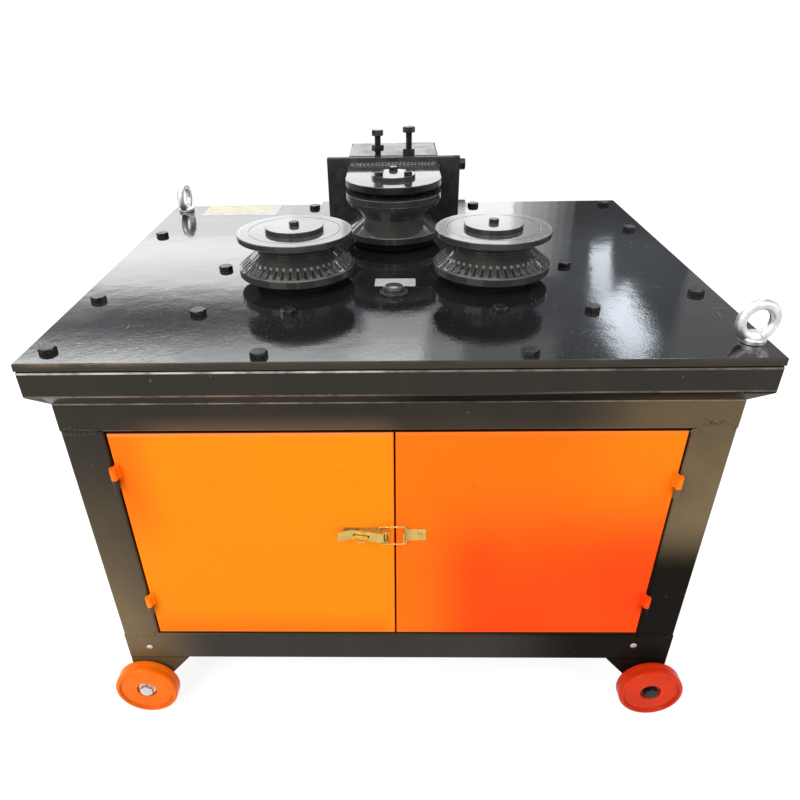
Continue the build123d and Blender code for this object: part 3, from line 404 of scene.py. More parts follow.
class Finish(Nodes):
    """Material under construction, on the object's coordinates or on an attribute of its points."""

    def __init__(self, name, sockets, attribute=None):
        self.material = bpy.data.materials.new(name)
        self.material.use_nodes = True
        super().__init__(self.material.node_tree)
        self.shader = self.tree.nodes["Principled BSDF"]
        self.give(**sockets)
        if attribute:
            self.where = self.add("ShaderNodeAttribute", attribute_name=attribute).outputs["Vector"]
        else:
            self.where = self.add("ShaderNodeTexCoord").outputs["Object"]

    def give(self, **sockets):
        """Feed inputs of the shader by their names."""
        for socket, value in sockets.items():
            self.feed(self.shader.inputs[socket], value)

    def stretched(self, scale, turn=0.0):
        """Coordinates scaled and turned about Z."""
        feeds = {"Vector": self.where, "Scale": scale, "Rotation": (0.0, 0.0, turn)}
        return self.add("ShaderNodeMapping", feeds).outputs[0]

    def noise(self, scale, detail=3.0, rough=0.55, where=None):
        """Fractal noise, cells per metre."""
        feeds = {"Vector": where or self.where, "Scale": scale, "Detail": detail, "Roughness": rough}
        return self.add("ShaderNodeTexNoise", feeds).outputs["Fac"]

    def lines(self, scale, turn=0.0):
        """Noise drawn out along the axes that have a small scale."""
        return self.noise(1.0, 2.0, 0.5, self.stretched(scale, turn))

    def cloud(self, scale, detail, low, high, first=0.0, last=1.0):
        """Smooth step of a noise."""
        return self.step(self.noise(scale, detail), low, high, first, last)

    def rings(self, period, warp=1.5):
        """Rings round the piece's own axis, one per period in metres."""
        feeds = {"Vector": self.where, "Scale": 2 * math.pi / 20 / period, "Distortion": warp, "Detail": 2.0}
        return self.add("ShaderNodeTexWave", feeds, wave_type="RINGS", rings_direction="Z").outputs["Fac"]

    def mix(self, share, a, b):
        """Colour a to colour b by a share."""
        return self.add("ShaderNodeMix", {0: share, 6: a, 7: b}, data_type="RGBA").outputs[2]

    def coats(self, base, *layers):
        """Base colour under layers, each a share and a colour."""
        for share, tint in layers:
            base = self.mix(share, base, tint)
        return base

    def parts(self):
        """X, Y and Z of the coordinates."""
        return self.add("ShaderNodeSeparateXYZ", {0: self.where}).outputs

    def upright(self):
        """One on upright faces, falling to zero on sloping ones."""
        normal = self.add("ShaderNodeNewGeometry").outputs["Normal"]
        rise = self.add("ShaderNodeSeparateXYZ", {0: normal}).outputs[2]
        return self.step(self.calc("ABSOLUTE", rise), 0.55, 0.20)

    def bump(self, *layers):
        """Chain of bumps, each a height, its depth in metres and its strength."""
        normal = None
        for height, depth, strength in layers:
            node = self.add("ShaderNodeBump", {"Height": height, "Distance": depth, "Strength": strength})
            if normal:
                self.feed(node.inputs["Normal"], normal)
            normal = node.outputs["Normal"]
        self.give(Normal=normal)

    def grain(self, *layers):
        """Chain of noise bumps, each a scale, its detail, its depth in metres and its strength."""
        self.bump(*((self.noise(scale, detail), depth, strength) for scale, detail, depth, strength in layers))

    def done(self, tint, rough, gloss=None):
        """Feed colour, roughness and, where it varies, the strength of reflections, and give the material."""
        self.give(**{"Base Color": tint, "Roughness": rough})
        if gloss:
            self.give(**{"Specular IOR Level": gloss})
        return self.material


def tones():
    """Colours set in the sidebar."""
    return bpy.context.scene.bender_colours


def shade(value, share):
    """Colour made darker or lighter by a share."""
    return tuple(min(1.0, channel * share) for channel in value)


def table_enamel():
    """Gloss black enamel on rolled plate: orange peel, dust specks, scratches, a worn brown edge that carries a painted
    highlight strongest at the left, and a painted shadow along the bottom of the edge.
    """
    look = Finish("table_enamel", {"IOR": 1.5})
    corner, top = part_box("table_plate")[1], TOP * MM
    x, y, z = look.parts()
    film = look.cloud(3.4, 5.0, 0.42, 0.74)
    patch = look.cloud(8.0, 3.0, 0.38, 0.62)
    specks = look.times(look.cloud(430.0, 1.5, 0.70, 0.76), patch)
    along = look.step(look.lines((16.0, 620.0, 1.0), 0.6), 0.735, 0.775)
    across = look.step(look.lines((560.0, 13.0, 1.0), 0.35), 0.745, 0.785)
    marks = look.most(specks, look.times(look.most(along, across), patch, 0.7))
    side = look.calc("SUBTRACT", corner.x, look.calc("ABSOLUTE", x))
    end = look.calc("SUBTRACT", corner.y, look.calc("ABSOLUTE", y))
    edge = look.step(look.calc("MINIMUM", side, end), 0.0016, 0.0002)
    # Brown wear on the edge, partly a painted highlight: strongest at the left and on the upper part of the edge.
    worn = look.times(
        edge, look.cloud(24.0, 4.0, 0.36, 0.60), look.step(x, -0.40, -0.22, 0.80, 0.15),
        look.step(z, top - 0.0075, top - 0.0005),
    )
    # Painted shadow: the lowest part of the edge is dark and nearly without reflection.
    foot = look.step(z, top - 0.0097, top - 0.0107)
    black = tones().table
    base = look.coats(
        black,
        (look.times(film, 0.5), shade(black, 2.6)),
        (look.times(marks, 0.75), (0.36, 0.36, 0.37)),
        (edge, look.mix(worn, (0.024, 0.020, 0.0135), (0.130, 0.092, 0.060))),
        (foot, (0.004, 0.004, 0.004)),
    )
    gloss = look.times(look.fade(edge, 0.5, 0.22), look.fade(foot, 1.0, 0.1))
    rough = look.plus(look.fade(film, 0.055, 0.105), look.times(marks, 0.35), look.times(edge, 0.22))
    peel = look.step(y, -0.08, -0.26, 0.05, 0.13)
    look.bump((look.noise(26.0, 2.0), 0.0030, 0.06), (look.noise(300.0, 2.5), 0.0006, peel))
    return look.done(base, rough, gloss)


def frame_enamel():
    """Black enamel brushed on tube: faint runs, orange peel and brown dust, with painted light in that brown on the
    front legs, painted shade under the table edge, at the apron fold and low on the right, warm painted reflections and
    painted highlight lines along the edges.
    """
    look = Finish("frame_enamel", {"IOR": 1.31})
    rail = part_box("top_rails")[0].z
    x, y, z = look.parts()
    aside = look.calc("ABSOLUTE", x)
    front = look.step(y, -0.3380, -0.3425)
    # Painted reflection: reflections are tinted warm, more so below the apron.
    painted_reflection_tint = look.mix(look.step(z, 0.590, 0.600), (1.0, 0.88, 0.73), (1.0, 0.97, 0.84))
    look.give(**{"Specular Tint": painted_reflection_tint})
    # Heights are in metres above the floor. The fold is the sloping foot of the apron, and the ridge its upper edge.
    ridge = look.calc("SUBTRACT", z, look.fade(look.step(x, 0.0, 0.30), 0.0008, 0.0030))
    fold = look.times(look.step(z, 0.5762, 0.5772), look.step(ridge, 0.5950, 0.5940))

    # Painted light: the dust brown is laid on the low left and the high right of the front. Behind, real dust thickens
    # towards the floor.
    painted_light_low_left = look.times(look.step(x, -0.28, -0.42), look.step(z, 0.54, 0.14))
    painted_light_high_right = look.times(look.step(x, 0.20, 0.40), look.step(z, 0.29, 0.40), look.step(z, 0.598, 0.580))
    behind = look.times(look.step(z, 0.52, 0.10, 0.05, 0.45), look.fade(front, 1.0, 0.0))
    film = look.most(look.times(look.most(painted_light_low_left, painted_light_high_right), front), behind)
    film = look.times(film, look.cloud(7.0, 4.0, 0.25, 0.70, 0.62, 1.0), look.fade(fold, 1.0, 0.3))

    # Painted shade: darker with weaker reflections on the fold at the right and at the ends, on the shadow line under
    # the table edge and low on the right of the front.
    folded = look.times(look.most(look.step(x, -0.04, 0.05), look.step(aside, 0.4262, 0.4272)), fold)
    painted_shade_low_right = look.times(look.step(x, 0.10, 0.32), look.step(z, 0.38, 0.29))
    painted_shade = look.most(folded, look.step(z, 0.6294, 0.6300), painted_shade_low_right)
    painted_shade = look.times(painted_shade, look.fade(front, 0.5, 1.0))

    # Painted warm reflection: brown on the top rail at the left, and on the left of the fold.
    painted_warm_reflection = look.times(
        look.step(z, rail + 0.028, rail + 0.001), look.step(z, rail - 0.002, rail - 0.001),
        look.step(x, -0.37, -0.27), look.step(x, 0.02, -0.03, 0.12, 0.62),
    )
    painted_warm_reflection = look.most(painted_warm_reflection, look.times(fold, look.step(x, 0.0, -0.08, 0.0, 0.16)))
    runs = look.lines((16.0, 16.0, 4.0))
    chips = look.times(look.cloud(190.0, 2.0, 0.71, 0.76), look.cloud(9.0, 3.0, 0.5, 0.62))
    black = tones().carcass
    base = look.coats(
        black,
        (look.step(runs, 0.30, 0.75), shade(black, 1.3)),
        (look.times(painted_shade, 0.7), shade(black, 0.35)),
        (look.times(film, 0.70), tones().dust),
        (painted_warm_reflection, (0.115, 0.066, 0.036)),
        (look.times(chips, 0.6), (0.21, 0.19, 0.16)),
    )

    # Painted highlight lines along the edges, partly rubbed paint: level, height, half width, colour and how strong at
    # the left, in the middle and at the right.
    edges = (
        (z, 0.6284, 0.0017, (0.52, 0.49, 0.44), 0.95, 0.30, 0.24),
        (ridge, 0.5961, 0.0016, (0.20, 0.17, 0.13), 0.80, 0.02, 0.55),
        (z, 0.5752, 0.0015, (0.28, 0.25, 0.20), 0.85, 0.22, 0.70),
        (z, rail + 0.0012, 0.0017, (0.20, 0.125, 0.075), 0.75, 0.20, 0.55),
    )
    rubbed = look.cloud(40.0, 4.0, 0.30, 0.62, 0.30, 1.0)
    between_legs = look.step(aside, 0.376, 0.370)
    for level, height, half, tint, left, middle, far in edges:
        share = look.plus(look.step(x, -0.08, 0.05, left, middle), look.step(x, 0.10, 0.28, 0.0, far - middle))
        share = look.times(look.near(level, height, half, 0.35 * half), rubbed, share, look.fade(front, 0.12, 1.0))
        if height < rail + 0.01:  # the rail's own edge stops at the legs
            share = look.times(share, between_legs)
        base = look.mix(share, base, tint)
    rough = look.plus(look.step(runs, 0.25, 0.75, 0.22, 0.28), look.times(film, 0.20))
    look.grain((14.0, 2.0, 0.0030, 0.10), (330.0, 2.0, 0.0005, 0.14))
    return look.done(base, rough, look.fade(painted_shade, 0.5, 0.05))


def door_enamel():
    """Orange enamel on bent sheet: a hue that shifts towards red as painted shade, orange peel, oil canning and fine
    rubs, with a painted highlight along the top bend and a painted shadow at the top edge.
    """
    look = Finish("door_enamel", {"IOR": 1.45, "Specular IOR Level": 0.035})
    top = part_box("left_door")[1].z
    x, y, z = look.parts()
    # Painted shade as a shift of hue towards the redder orange: the right door as a whole, then corners that fade in
    # over x and over z, each with its share.
    tone_and_painted_shade = look.step(x, -0.004, 0.004, 0.0, 0.45)
    for (x0, x1), (z0, z1), share in (
        ((0.02, 0.13), (0.48, 0.28), 0.45),
        ((0.18, 0.33), (0.32, 0.46), -0.24),
        ((-0.30, -0.36), (0.30, 0.44), 0.42),
        ((0.01, -0.03), (0.215, 0.165), 0.32),
    ):
        tone_and_painted_shade = look.plus(tone_and_painted_shade, look.times(look.step(x, x0, x1), look.step(z, z0, z1, 0.0, share)))
    tone_and_painted_shade = look.times(tone_and_painted_shade, look.step(y, -0.30, -0.33, 0.25, 1.0), look.step(y, 0.30, 0.33, 1.0, 0.0))
    tone_and_painted_shade = look.plus(tone_and_painted_shade, look.cloud(5.0, 3.0, 0.3, 0.7, -0.04, 0.04))
    rubs = look.step(look.lines((9.0, 9.0, 420.0)), 0.72, 0.78, 0.0, 0.18)
    grime = look.cloud(60.0, 4.0, 0.62, 0.80, 0.0, 0.20)
    # Painted highlight along the top bend, stronger on the left door.
    lip_painted_highlight = look.times(look.step(z, top - 0.0070, top - 0.0055), look.step(x, -0.004, 0.004, 0.75, 0.25))
    base = look.coats(
        tones().door_left,
        (tone_and_painted_shade, tones().door_right),
        (rubs, (1.0, 0.52, 0.22)),
        (grime, shade(tones().door_right, 0.55)),
        (lip_painted_highlight, (0.84, 0.23, 0.055)),
        # Painted shadow along the top edge.
        (look.step(z, top - 0.0014, top - 0.0007), (0.030, 0.010, 0.005)),
    )
    look.grain((5.0, 1.0, 0.0040, 0.10), (420.0, 2.0, 0.0004, 0.16))
    return look.done(base, look.cloud(9.0, 4.0, 0.3, 0.7, 0.30, 0.44))


def head_enamel():
    """Gloss black enamel over flame-cut plate: mill scale showing through, dust and rubbed spots, with painted shade on
    the upright faces at the front and on the lower arm near the table.
    """
    look = Finish("head_enamel", {"IOR": 1.42})
    crest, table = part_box("yoke_back_plate")[1].z, TOP * MM
    _, y, z = look.parts()
    # Painted shade: upright faces at the front are darker and less glossy.
    rim = look.times(look.upright(), look.step(y, 0.19, 0.17))
    # Reflections are weakened on the top of the back plate, on upright faces at the front and, as painted shade, on the
    # lower arm near the table.
    gloss = look.times(
        look.step(z, crest - 0.0016, crest - 0.0002, 0.5, 0.004), look.fade(rim, 1.0, 0.35),
        look.step(z, table + 0.017, table + 0.015, 1.0, 0.06),
    )
    scale = look.cloud(55.0, 4.0, 0.35, 0.70)
    rubs = look.times(look.cloud(320.0, 2.0, 0.70, 0.76), look.cloud(12.0, 3.0, 0.45, 0.62))
    base = look.coats(
        (0.026, 0.0265, 0.026),
        (scale, (0.044, 0.0435, 0.041)),
        (rim, (0.012, 0.012, 0.012)),
        (look.times(rubs, 0.6), (0.20, 0.20, 0.20)),
    )
    rough = look.plus(look.fade(scale, 0.07, 0.12), look.times(rubs, 0.3))
    look.grain((24.0, 2.0, 0.0020, 0.03), (380.0, 2.0, 0.0005, 0.04))
    return look.done(base, rough, gloss)


def house_enamel():
    """Dull grey-black enamel on a casting: fine sand skin, pale dust settled on it."""
    look = Finish("house_enamel", {"IOR": 1.4, "Specular IOR Level": 0.42})
    dust = look.cloud(30.0, 4.0, 0.30, 0.75)
    base = look.mix(dust, (0.030, 0.030, 0.031), (0.062, 0.062, 0.062))
    look.grain((34.0, 2.0, 0.0010, 0.08), (420.0, 2.0, 0.0005, 0.20))
    return look.done(base, look.fade(dust, 0.30, 0.40))


def turned_steel(name="turned_steel", cut=None):
    """Turned steel, blackened and lacquered: lathe rings, cloudy tint, rubs, painted highlight lines on the outer edges
    that are partly rubbed bright, painted shade on upright faces, and in the serrations that are cut, darker groove
    middles with painted highlights on their flanks and a painted glint at their inner ends.
    """
    look = Finish(name, {"IOR": 1.40}, "own")
    x, y, z = look.parts()
    reach = look.reach(x, y)
    # Painted highlight lines on the outer edges, partly rubbed bright.
    edges = look.most(*(look.near(z, height * MM, 0.0009, 0.0003) for height in WEAR_AND_HIGHLIGHT_EDGES))
    bright = look.times(edges, look.step(reach, 0.0775, 0.0788), look.cloud(36.0, 3.0, 0.34, 0.62, 0.15, 0.65))
    cloudy = look.cloud(18.0, 4.0, 0.35, 0.70)
    rubs = look.times(look.cloud(300.0, 2.0, 0.68, 0.76), look.cloud(14.0, 3.0, 0.45, 0.65))
    # Painted shade: upright faces are darker and less glossy.
    rim = look.upright()
    steel = tones().steel
    base = look.coats(
        steel,
        (cloudy, shade(steel, 0.62)),
        (look.times(rubs, 0.6), (0.20, 0.195, 0.19)),
        (rim, shade(steel, 0.56)),
        (bright, (0.19, 0.182, 0.17)),
    )
    if cut:
        turn = look.times(look.calc("ARCTAN2", y, x), cut.serrations / (2 * math.pi))
        turn = look.calc("FRACT", look.plus(turn, 0.5))
        aside = look.calc("ABSOLUTE", look.calc("SUBTRACT", turn, 0.5))
        inner, outer = cut.serration_inner, cut.serration_outer
        along = look.times(
            look.step(reach, inner + 0.0004, inner + 0.0014), look.step(reach, outer + 0.0006, outer - 0.0004)
        )
        # The middle of each groove is darker, with painted highlights on its flanks and a painted glint at its inner
        # end.
        oil = look.times(along, look.step(aside, 0.17, 0.03, 0.0, 0.70))
        ridge = look.times(along, look.step(aside, 0.22, 0.27), look.step(aside, 0.36, 0.31), 0.45)
        end = look.times(look.near(reach, inner, 0.0013, 0.0005), look.step(aside, 0.20, 0.10, 0.0, 0.45))
        base = look.coats(
            base, (oil, (0.009, 0.0085, 0.008)), (ridge, (0.13, 0.125, 0.118)), (end, (0.34, 0.33, 0.31))
        )
    rough = look.plus(look.fade(look.rings(0.0042, 2.5), 0.065, 0.09), look.times(cloudy, 0.03))
    look.bump((look.rings(0.0016), 0.00004, 0.10), (look.noise(60.0, 2.0), 0.0008, 0.07))
    return look.done(base, rough, look.fade(rim, 0.5, 0.40))


def black_oxide():
    """Blackened bolts: oily dark steel with bright rubs on the corners and forged texture."""
    look = Finish("black_oxide", {"Metallic": 0.6, "Specular IOR Level": 0.3})
    patch = look.cloud(120.0, 3.0, 0.38, 0.68)
    rub = look.cloud(420.0, 2.0, 0.64, 0.74, 0.0, 0.5)
    base = look.coats(tones().oxide, (patch, shade(tones().oxide, 2.4)), (rub, (0.16, 0.15, 0.14)))
    look.grain((600.0, 3.0, 0.0003, 0.20))
    return look.done(base, look.fade(patch, 0.26, 0.44))


def oiled_black():
    """Blackened screws in the wheels: thick oil over dark steel, dust in the oil."""
    look = Finish("oiled_black", {"Specular IOR Level": 0.16})
    base = look.mix(look.cloud(160.0, 3.0, 0.40, 0.72), (0.007, 0.007, 0.007), (0.024, 0.022, 0.020))
    look.grain((500.0, 3.0, 0.0003, 0.20))
    return look.done(base, look.cloud(60.0, 3.0, 0.3, 0.7, 0.20, 0.34))


def bright_zinc():
    """Bright zinc over a forging: pale mottled plating with a cast skin."""
    look = Finish("bright_zinc", {"Metallic": 1.0})
    patch = look.cloud(70.0, 4.0, 0.35, 0.70)
    stain = look.cloud(30.0, 3.0, 0.60, 0.78, 0.0, 0.4)
    base = look.coats(tones().zinc, (patch, shade(tones().zinc, 1.28)), (stain, (0.44, 0.42, 0.37)))
    look.grain((260.0, 3.0, 0.0006, 0.25))
    return look.done(base, look.fade(patch, 0.36, 0.50))


def gold_passivate():
    """Passivated zinc on pressed strip: gold drifting to green and rose."""
    look = Finish("gold_passivate", {"Metallic": 0.7})
    green = look.cloud(90.0, 3.0, 0.35, 0.65)
    rose = look.cloud(46.0, 2.0, 0.52, 0.70, 0.0, 0.6)
    base = look.coats(tones().passivated, (green, (0.47, 0.345, 0.10)), (rose, (0.60, 0.34, 0.14)))
    look.grain((500.0, 2.0, 0.0002, 0.15))
    return look.done(base, look.cloud(150.0, 3.0, 0.35, 0.70, 0.24, 0.38))


def urethane(name, tint):
    """Moulded polyurethane: even colour with cloudy depth, scuffs on the tread, a soft gloss and painted shade in the
    ring recesses.
    """
    look = Finish(name, {"IOR": 1.5, "Specular IOR Level": 0.07}, "own")
    x, _, z = look.parts()
    # Painted shade in the ring recesses of the faces, broken by noise.
    groove = look.near(look.reach(x, z), 0.0424, 0.0024, 0.0010)
    groove = look.times(groove, look.cloud(26.0, 3.0, 0.32, 0.62, 0.25, 0.75))
    depth = look.cloud(22.0, 3.0, 0.35, 0.70)
    scuff = look.times(look.cloud(140.0, 3.0, 0.60, 0.74), look.cloud(30.0, 3.0, 0.42, 0.62))
    base = look.coats(
        tint, (depth, shade(tint, 0.86)), (look.times(scuff, 0.35), shade(tint, 0.45)), (groove, shade(tint, 0.55))
    )
    rough = look.plus(look.fade(depth, 0.11, 0.16), look.times(scuff, 0.25))
    look.grain((90.0, 2.0, 0.0006, 0.12), (700.0, 2.0, 0.0002, 0.12))
    return look.done(base, rough)


def ground_bar():
    """Ground steel with a film of oil: fine lay lines and brown stains."""
    look = Finish("ground_bar", {"Metallic": 1.0})
    lay = look.noise(1.0, 3.0, 0.6, look.stretched((900.0, 900.0, 40.0)))
    stain = look.cloud(26.0, 4.0, 0.48, 0.72)
    base = look.mix(look.step(lay, 0.35, 0.65), (0.40, 0.41, 0.42), (0.52, 0.53, 0.54))
    base = look.mix(look.times(stain, 0.5), base, (0.20, 0.17, 0.13))
    look.bump((lay, 0.0001, 0.15))
    return look.done(base, look.plus(look.step(lay, 0.3, 0.7, 0.24, 0.36), look.times(stain, 0.12)))


def motor_enamel():
    """Grey enamel on castings: sand-cast skin, oil stains in the hollows."""
    look = Finish("motor_enamel", {"IOR": 1.45})
    patch = look.cloud(16.0, 4.0, 0.35, 0.70)
    stain = look.cloud(34.0, 4.0, 0.55, 0.78, 0.0, 0.6)
    base = look.coats(tones().motor, (patch, shade(tones().motor, 0.7)), (stain, (0.050, 0.042, 0.032)))
    look.grain((230.0, 3.0, 0.0009, 0.30))
    return look.done(base, look.cloud(40.0, 3.0, 0.3, 0.7, 0.38, 0.55))


def gland_plastic():
    """Black moulded plastic with a fine spark-eroded grain."""
    look = Finish("gland_plastic", {"IOR": 1.46})
    base = look.mix(look.noise(120.0, 3.0), (0.016, 0.016, 0.017), (0.034, 0.034, 0.035))
    look.grain((1500.0, 2.0, 0.0002, 0.25))
    return look.done(base, look.cloud(60.0, 3.0, 0.3, 0.7, 0.45, 0.58))


def weld_enamel():
    """Weld bead under black enamel: spatter grains and bright worn ripples."""
    look = Finish("weld_enamel", {"IOR": 1.5})
    spatter = look.cloud(300.0, 3.0, 0.40, 0.70)
    base = look.mix(spatter, (0.014, 0.013, 0.012), (0.055, 0.050, 0.044))
    look.grain((240.0, 3.0, 0.0012, 0.30))
    return look.done(base, look.fade(spatter, 0.12, 0.28))


def strip_film():
    """Blank self-adhesive film: yellow on the rear left part of the wide strip, pale elsewhere, dusty."""
    look = Finish("strip_film", {"IOR": 1.45, "Specular IOR Level": 0.3})
    x, y, _ = look.parts()
    pale = look.most(look.step(y, 0.3135, 0.3105), look.step(x, -0.256, -0.252))
    base = look.coats(
        (0.47, 0.425, 0.205),
        (look.cloud(20.0, 3.0, 0.35, 0.70), (0.53, 0.49, 0.29)),
        (pale, (0.42, 0.43, 0.42)),
        (look.cloud(130.0, 3.0, 0.62, 0.80, 0.0, 0.5), (0.32, 0.31, 0.27)),
    )
    look.grain((45.0, 2.0, 0.0004, 0.20))
    return look.done(base, look.cloud(50.0, 3.0, 0.3, 0.7, 0.28, 0.42))


FINISHES = {
    maker.__name__: maker
    for maker in (
        table_enamel, frame_enamel, door_enamel, head_enamel, house_enamel, turned_steel, black_oxide, oiled_black,
        bright_zinc, gold_passivate, ground_bar, motor_enamel, gland_plastic, weld_enamel, strip_film,
    )
}
FINISHES.update({
    "serrated_steel": lambda: turned_steel("serrated_steel", bpy.context.scene.bender_rollers),
    "left_urethane": lambda: urethane("left_urethane", tones().wheel_left),
    "right_urethane": lambda: urethane("right_urethane", tones().wheel_right),
})
BUILT = {}


def finish_of(name):
    """Material of that name, built the first time it is asked for."""
    if name not in BUILT:
        BUILT[name] = FINISHES[name]()
    return BUILT[name]


def ease(v):
    """Smooth step from 0 to 1: v^2 (3 - 2 v)."""
    v = np.clip(v, 0, 1)
    return v * v * (3 - 2 * v)


def serrated_cone(sizes):
    """Lower half of a front roller, turned about Z.

    On the cone a point sinks along the inward normal by depth * groove * reach: groove is a V across each serration,
    1 - |arc| / (width / 2), and reach a smooth step at both ends of the serration.
    """
    count = sizes.serrations
    a = angles(12 * count)
    foot, head = np.array([CONE_RIM, CONE_FOOT]), np.array([NECK, CONE_HEAD])
    slope = head - foot
    inward = np.array([-slope[1], slope[0]]) / np.hypot(*slope)
    outer = (sizes.serration_outer / MM - foot[0]) / slope[0]
    inner = (sizes.serration_inner / MM - foot[0]) / slope[0]
    fade = 0.045  # half the run-out of a serration, as a share of the cone
    stops = (0, outer - fade, outer + fade, inner - fade, inner + fade, 1)
    rows = [np.linspace(low, high, n + 1)[1:] for low, high, n in zip(stops, stops[1:], (3, 6, 8, 6, 4))]
    t = np.concatenate([[0], *rows])
    seat = [(BORE, SPLIT), (BORE, CONE_SEAT), (CONE_RIM, CONE_SEAT), foot]
    below = soften(seat, sizes.edge_round / MM, 4, closed=False)
    above = soften([head, (NECK, SPLIT), (BORE, SPLIT)], 0.6, 3, closed=False)
    profile = np.vstack([below[:-1], foot + t[:, None] * slope, above[1:]])
    first = len(below) - 1
    reach = np.zeros((len(profile), 1))
    reach[first:first + len(t), 0] = ease((t - outer) / fade / 2 + 0.5) * ease((inner - t) / fade / 2 + 0.5)
    arc = (np.mod(a * count / (2 * np.pi) + 0.5, 1.0) - 0.5) * 2 * np.pi / count * profile[:, :1]
    groove = np.clip(1 - np.abs(arc) / (sizes.serration_width / MM / 2), 0, 1)
    sink = sizes.serration_depth / MM * groove * reach
    return shell(swept(profile[:, :1] + sink * inward[0], a, profile[:, 1:] + sink * inward[1]))


def upper_disc(sizes):
    """Upper half of a front roller: bevelled underside, rim, and a ring groove in its flat top, turned about Z."""
    outline = [
        (BORE, SPLIT), (NECK, SPLIT), (NECK, BEVEL_FOOT), (DISC_RIM, BEVEL_HEAD), (DISC_RIM, DISC_TOP),
        (67, DISC_TOP), (66.5, DISC_TOP - 0.4), (66, DISC_TOP), (BORE, DISC_TOP),
    ]
    return turned(soften(outline, sizes.edge_round / MM, 4), 180, ring=True)


class BENDER_OT_front_rollers(bpy.types.Operator):
    """Build both front rollers: serrated cones, discs and clamp discs"""

    bl_idname = "bender.front_rollers"
    bl_label = "Front rollers"

    def execute(self, context):
        sizes = context.scene.bender_rollers
        small = context.scene.bender_fasteners.small_flats / MM
        clamp = turned([
            (0, DISC_TOP), (CLAMP_RIM - 0.5, DISC_TOP), (CLAMP_RIM, DISC_TOP + 0.5), (CLAMP_RIM, CLAMP_TOP - 0.6),
            (CLAMP_RIM - 0.6, CLAMP_TOP), (0, CLAMP_TOP),
        ], 140)
        for hand, turn in (("left", 0.4), ("right", 0.1)):
            at = axis_of(hand + "_spindle", TOP)
            body = hand + "_roller"
            groups = [("serrated_steel", [moved(serrated_cone(sizes), at)])]
            piece(hand + "_serrated_cone", groups, body, [hand + "_roller_lower"], at, 26)
            groups = [("turned_steel", [moved(upper_disc(sizes), at)])]
            piece(hand + "_upper_disc", groups, body, [hand + "_roller_upper"], at)
            groups = [
                ("turned_steel", [moved(clamp, at)]),
                ("black_oxide", [moved(hex_head(small, CLAMP_TOP, CLAMP_HEAD), at, turn)]),
            ]
            piece(hand + "_clamp_disc", groups, body, [hand + "_clamp"], at)
        return {"FINISHED"}


def arm_plate(half, low, high, edge):
    """Yoke arm about the roller pin, with a pin hole.

    Polar outline: r(a) = half in front, min(half / |cos a|, depth / sin a) behind.
    """
    corner = math.atan2(ARM_DEPTH, half)
    a = np.unique(np.concatenate([angles(180), [corner, math.pi - corner]]))
    side = half / np.maximum(np.abs(np.cos(a)), 1e-6)
    back = ARM_DEPTH / np.maximum(np.sin(a), 1e-6)
    out = np.where(np.sin(a) > 0, np.minimum(side, back), half)
    inset, rise = quarter(edge)
    hole = np.full((1, len(a)), PIN_HOLE)
    radii = np.concatenate([hole, out - inset[:, None], out - inset[::-1, None], hole])
    height = np.concatenate([[low], low + rise, high - rise[::-1], [high]])
    return shell(swept(radii, a, height[:, None]), ring=True)


def bead(start, end, up, half, height, seed, ripple=3.4):
    """Weld bead: an arch of half width w(s) and height h(s) along a line.

    w = half * taper * (1 + wander + wave) and h = height * taper * (0.8 + wander + 2 wave), with ripples in the wave.
    """
    start, end, up = (np.asarray(v, float) for v in (start, end, up))
    run = end - start
    size = np.linalg.norm(run)
    side = np.cross(run / size, up)
    s = np.linspace(0, 1, int(size / 0.8) + 3)[:, None]
    phases = np.random.default_rng(seed).uniform(0, 2 * np.pi, 4)
    wander = np.sin(s * size / 17 + phases[0]) * 0.10 + np.sin(s * size / 7.3 + phases[1]) * 0.06
    wave = 0.17 * np.abs(np.sin(np.pi * s * size / ripple + 0.6 * np.sin(s * size / 11 + phases[2])))
    taper = np.sqrt(np.clip(np.minimum(s, 1 - s) * size / half, 0.02, 1))
    t = angles(14)[None, :]
    wide = half * taper * (1 + wander + wave)
    lift = np.where(np.sin(t) > 0, height * taper * (0.8 + wander + 2 * wave) * np.sin(t), 0.4 * np.sin(t))
    along = start + s[:, :, None] * run
    return shell(capped(along + (wide * np.cos(t))[..., None] * side + lift[..., None] * up))


def lump(centre, half_x, half_z, height, seed):
    """Patch of piled weld on a front face: an oval pillow with a sunk rim.

    h(r, a) = height (1 - r^2) (0.5 + ripples in x and z) - 0.4 r^8.
    """
    chance = np.random.default_rng(seed)
    r = np.linspace(0, 1, 22)[:, None]
    a = angles(72)[None, :]
    reach = 1 + 0.12 * np.sin(3 * a + chance.uniform(0, 6)) + 0.07 * np.sin(5 * a + chance.uniform(0, 6))
    x, z = half_x * r * reach * np.cos(a), half_z * r * reach * np.sin(a)
    ripples = 0.0
    for size, (turn, phase) in zip((8.0, 6.5, 11.0, 5.0), chance.uniform(0, 6.28, (4, 2))):
        ripples = ripples + 0.25 * np.sin(2 * np.pi * (x * math.cos(turn) + z * math.sin(turn)) / size + phase)
    depth = height * (1 - r ** 2) * (0.5 + 0.8 * ripples) - 0.4 * r ** 8
    grid = np.stack([centre[0] + x, centre[1] - np.maximum(depth, -0.4), centre[2] + z], -1)
    return shell(capped(grid))


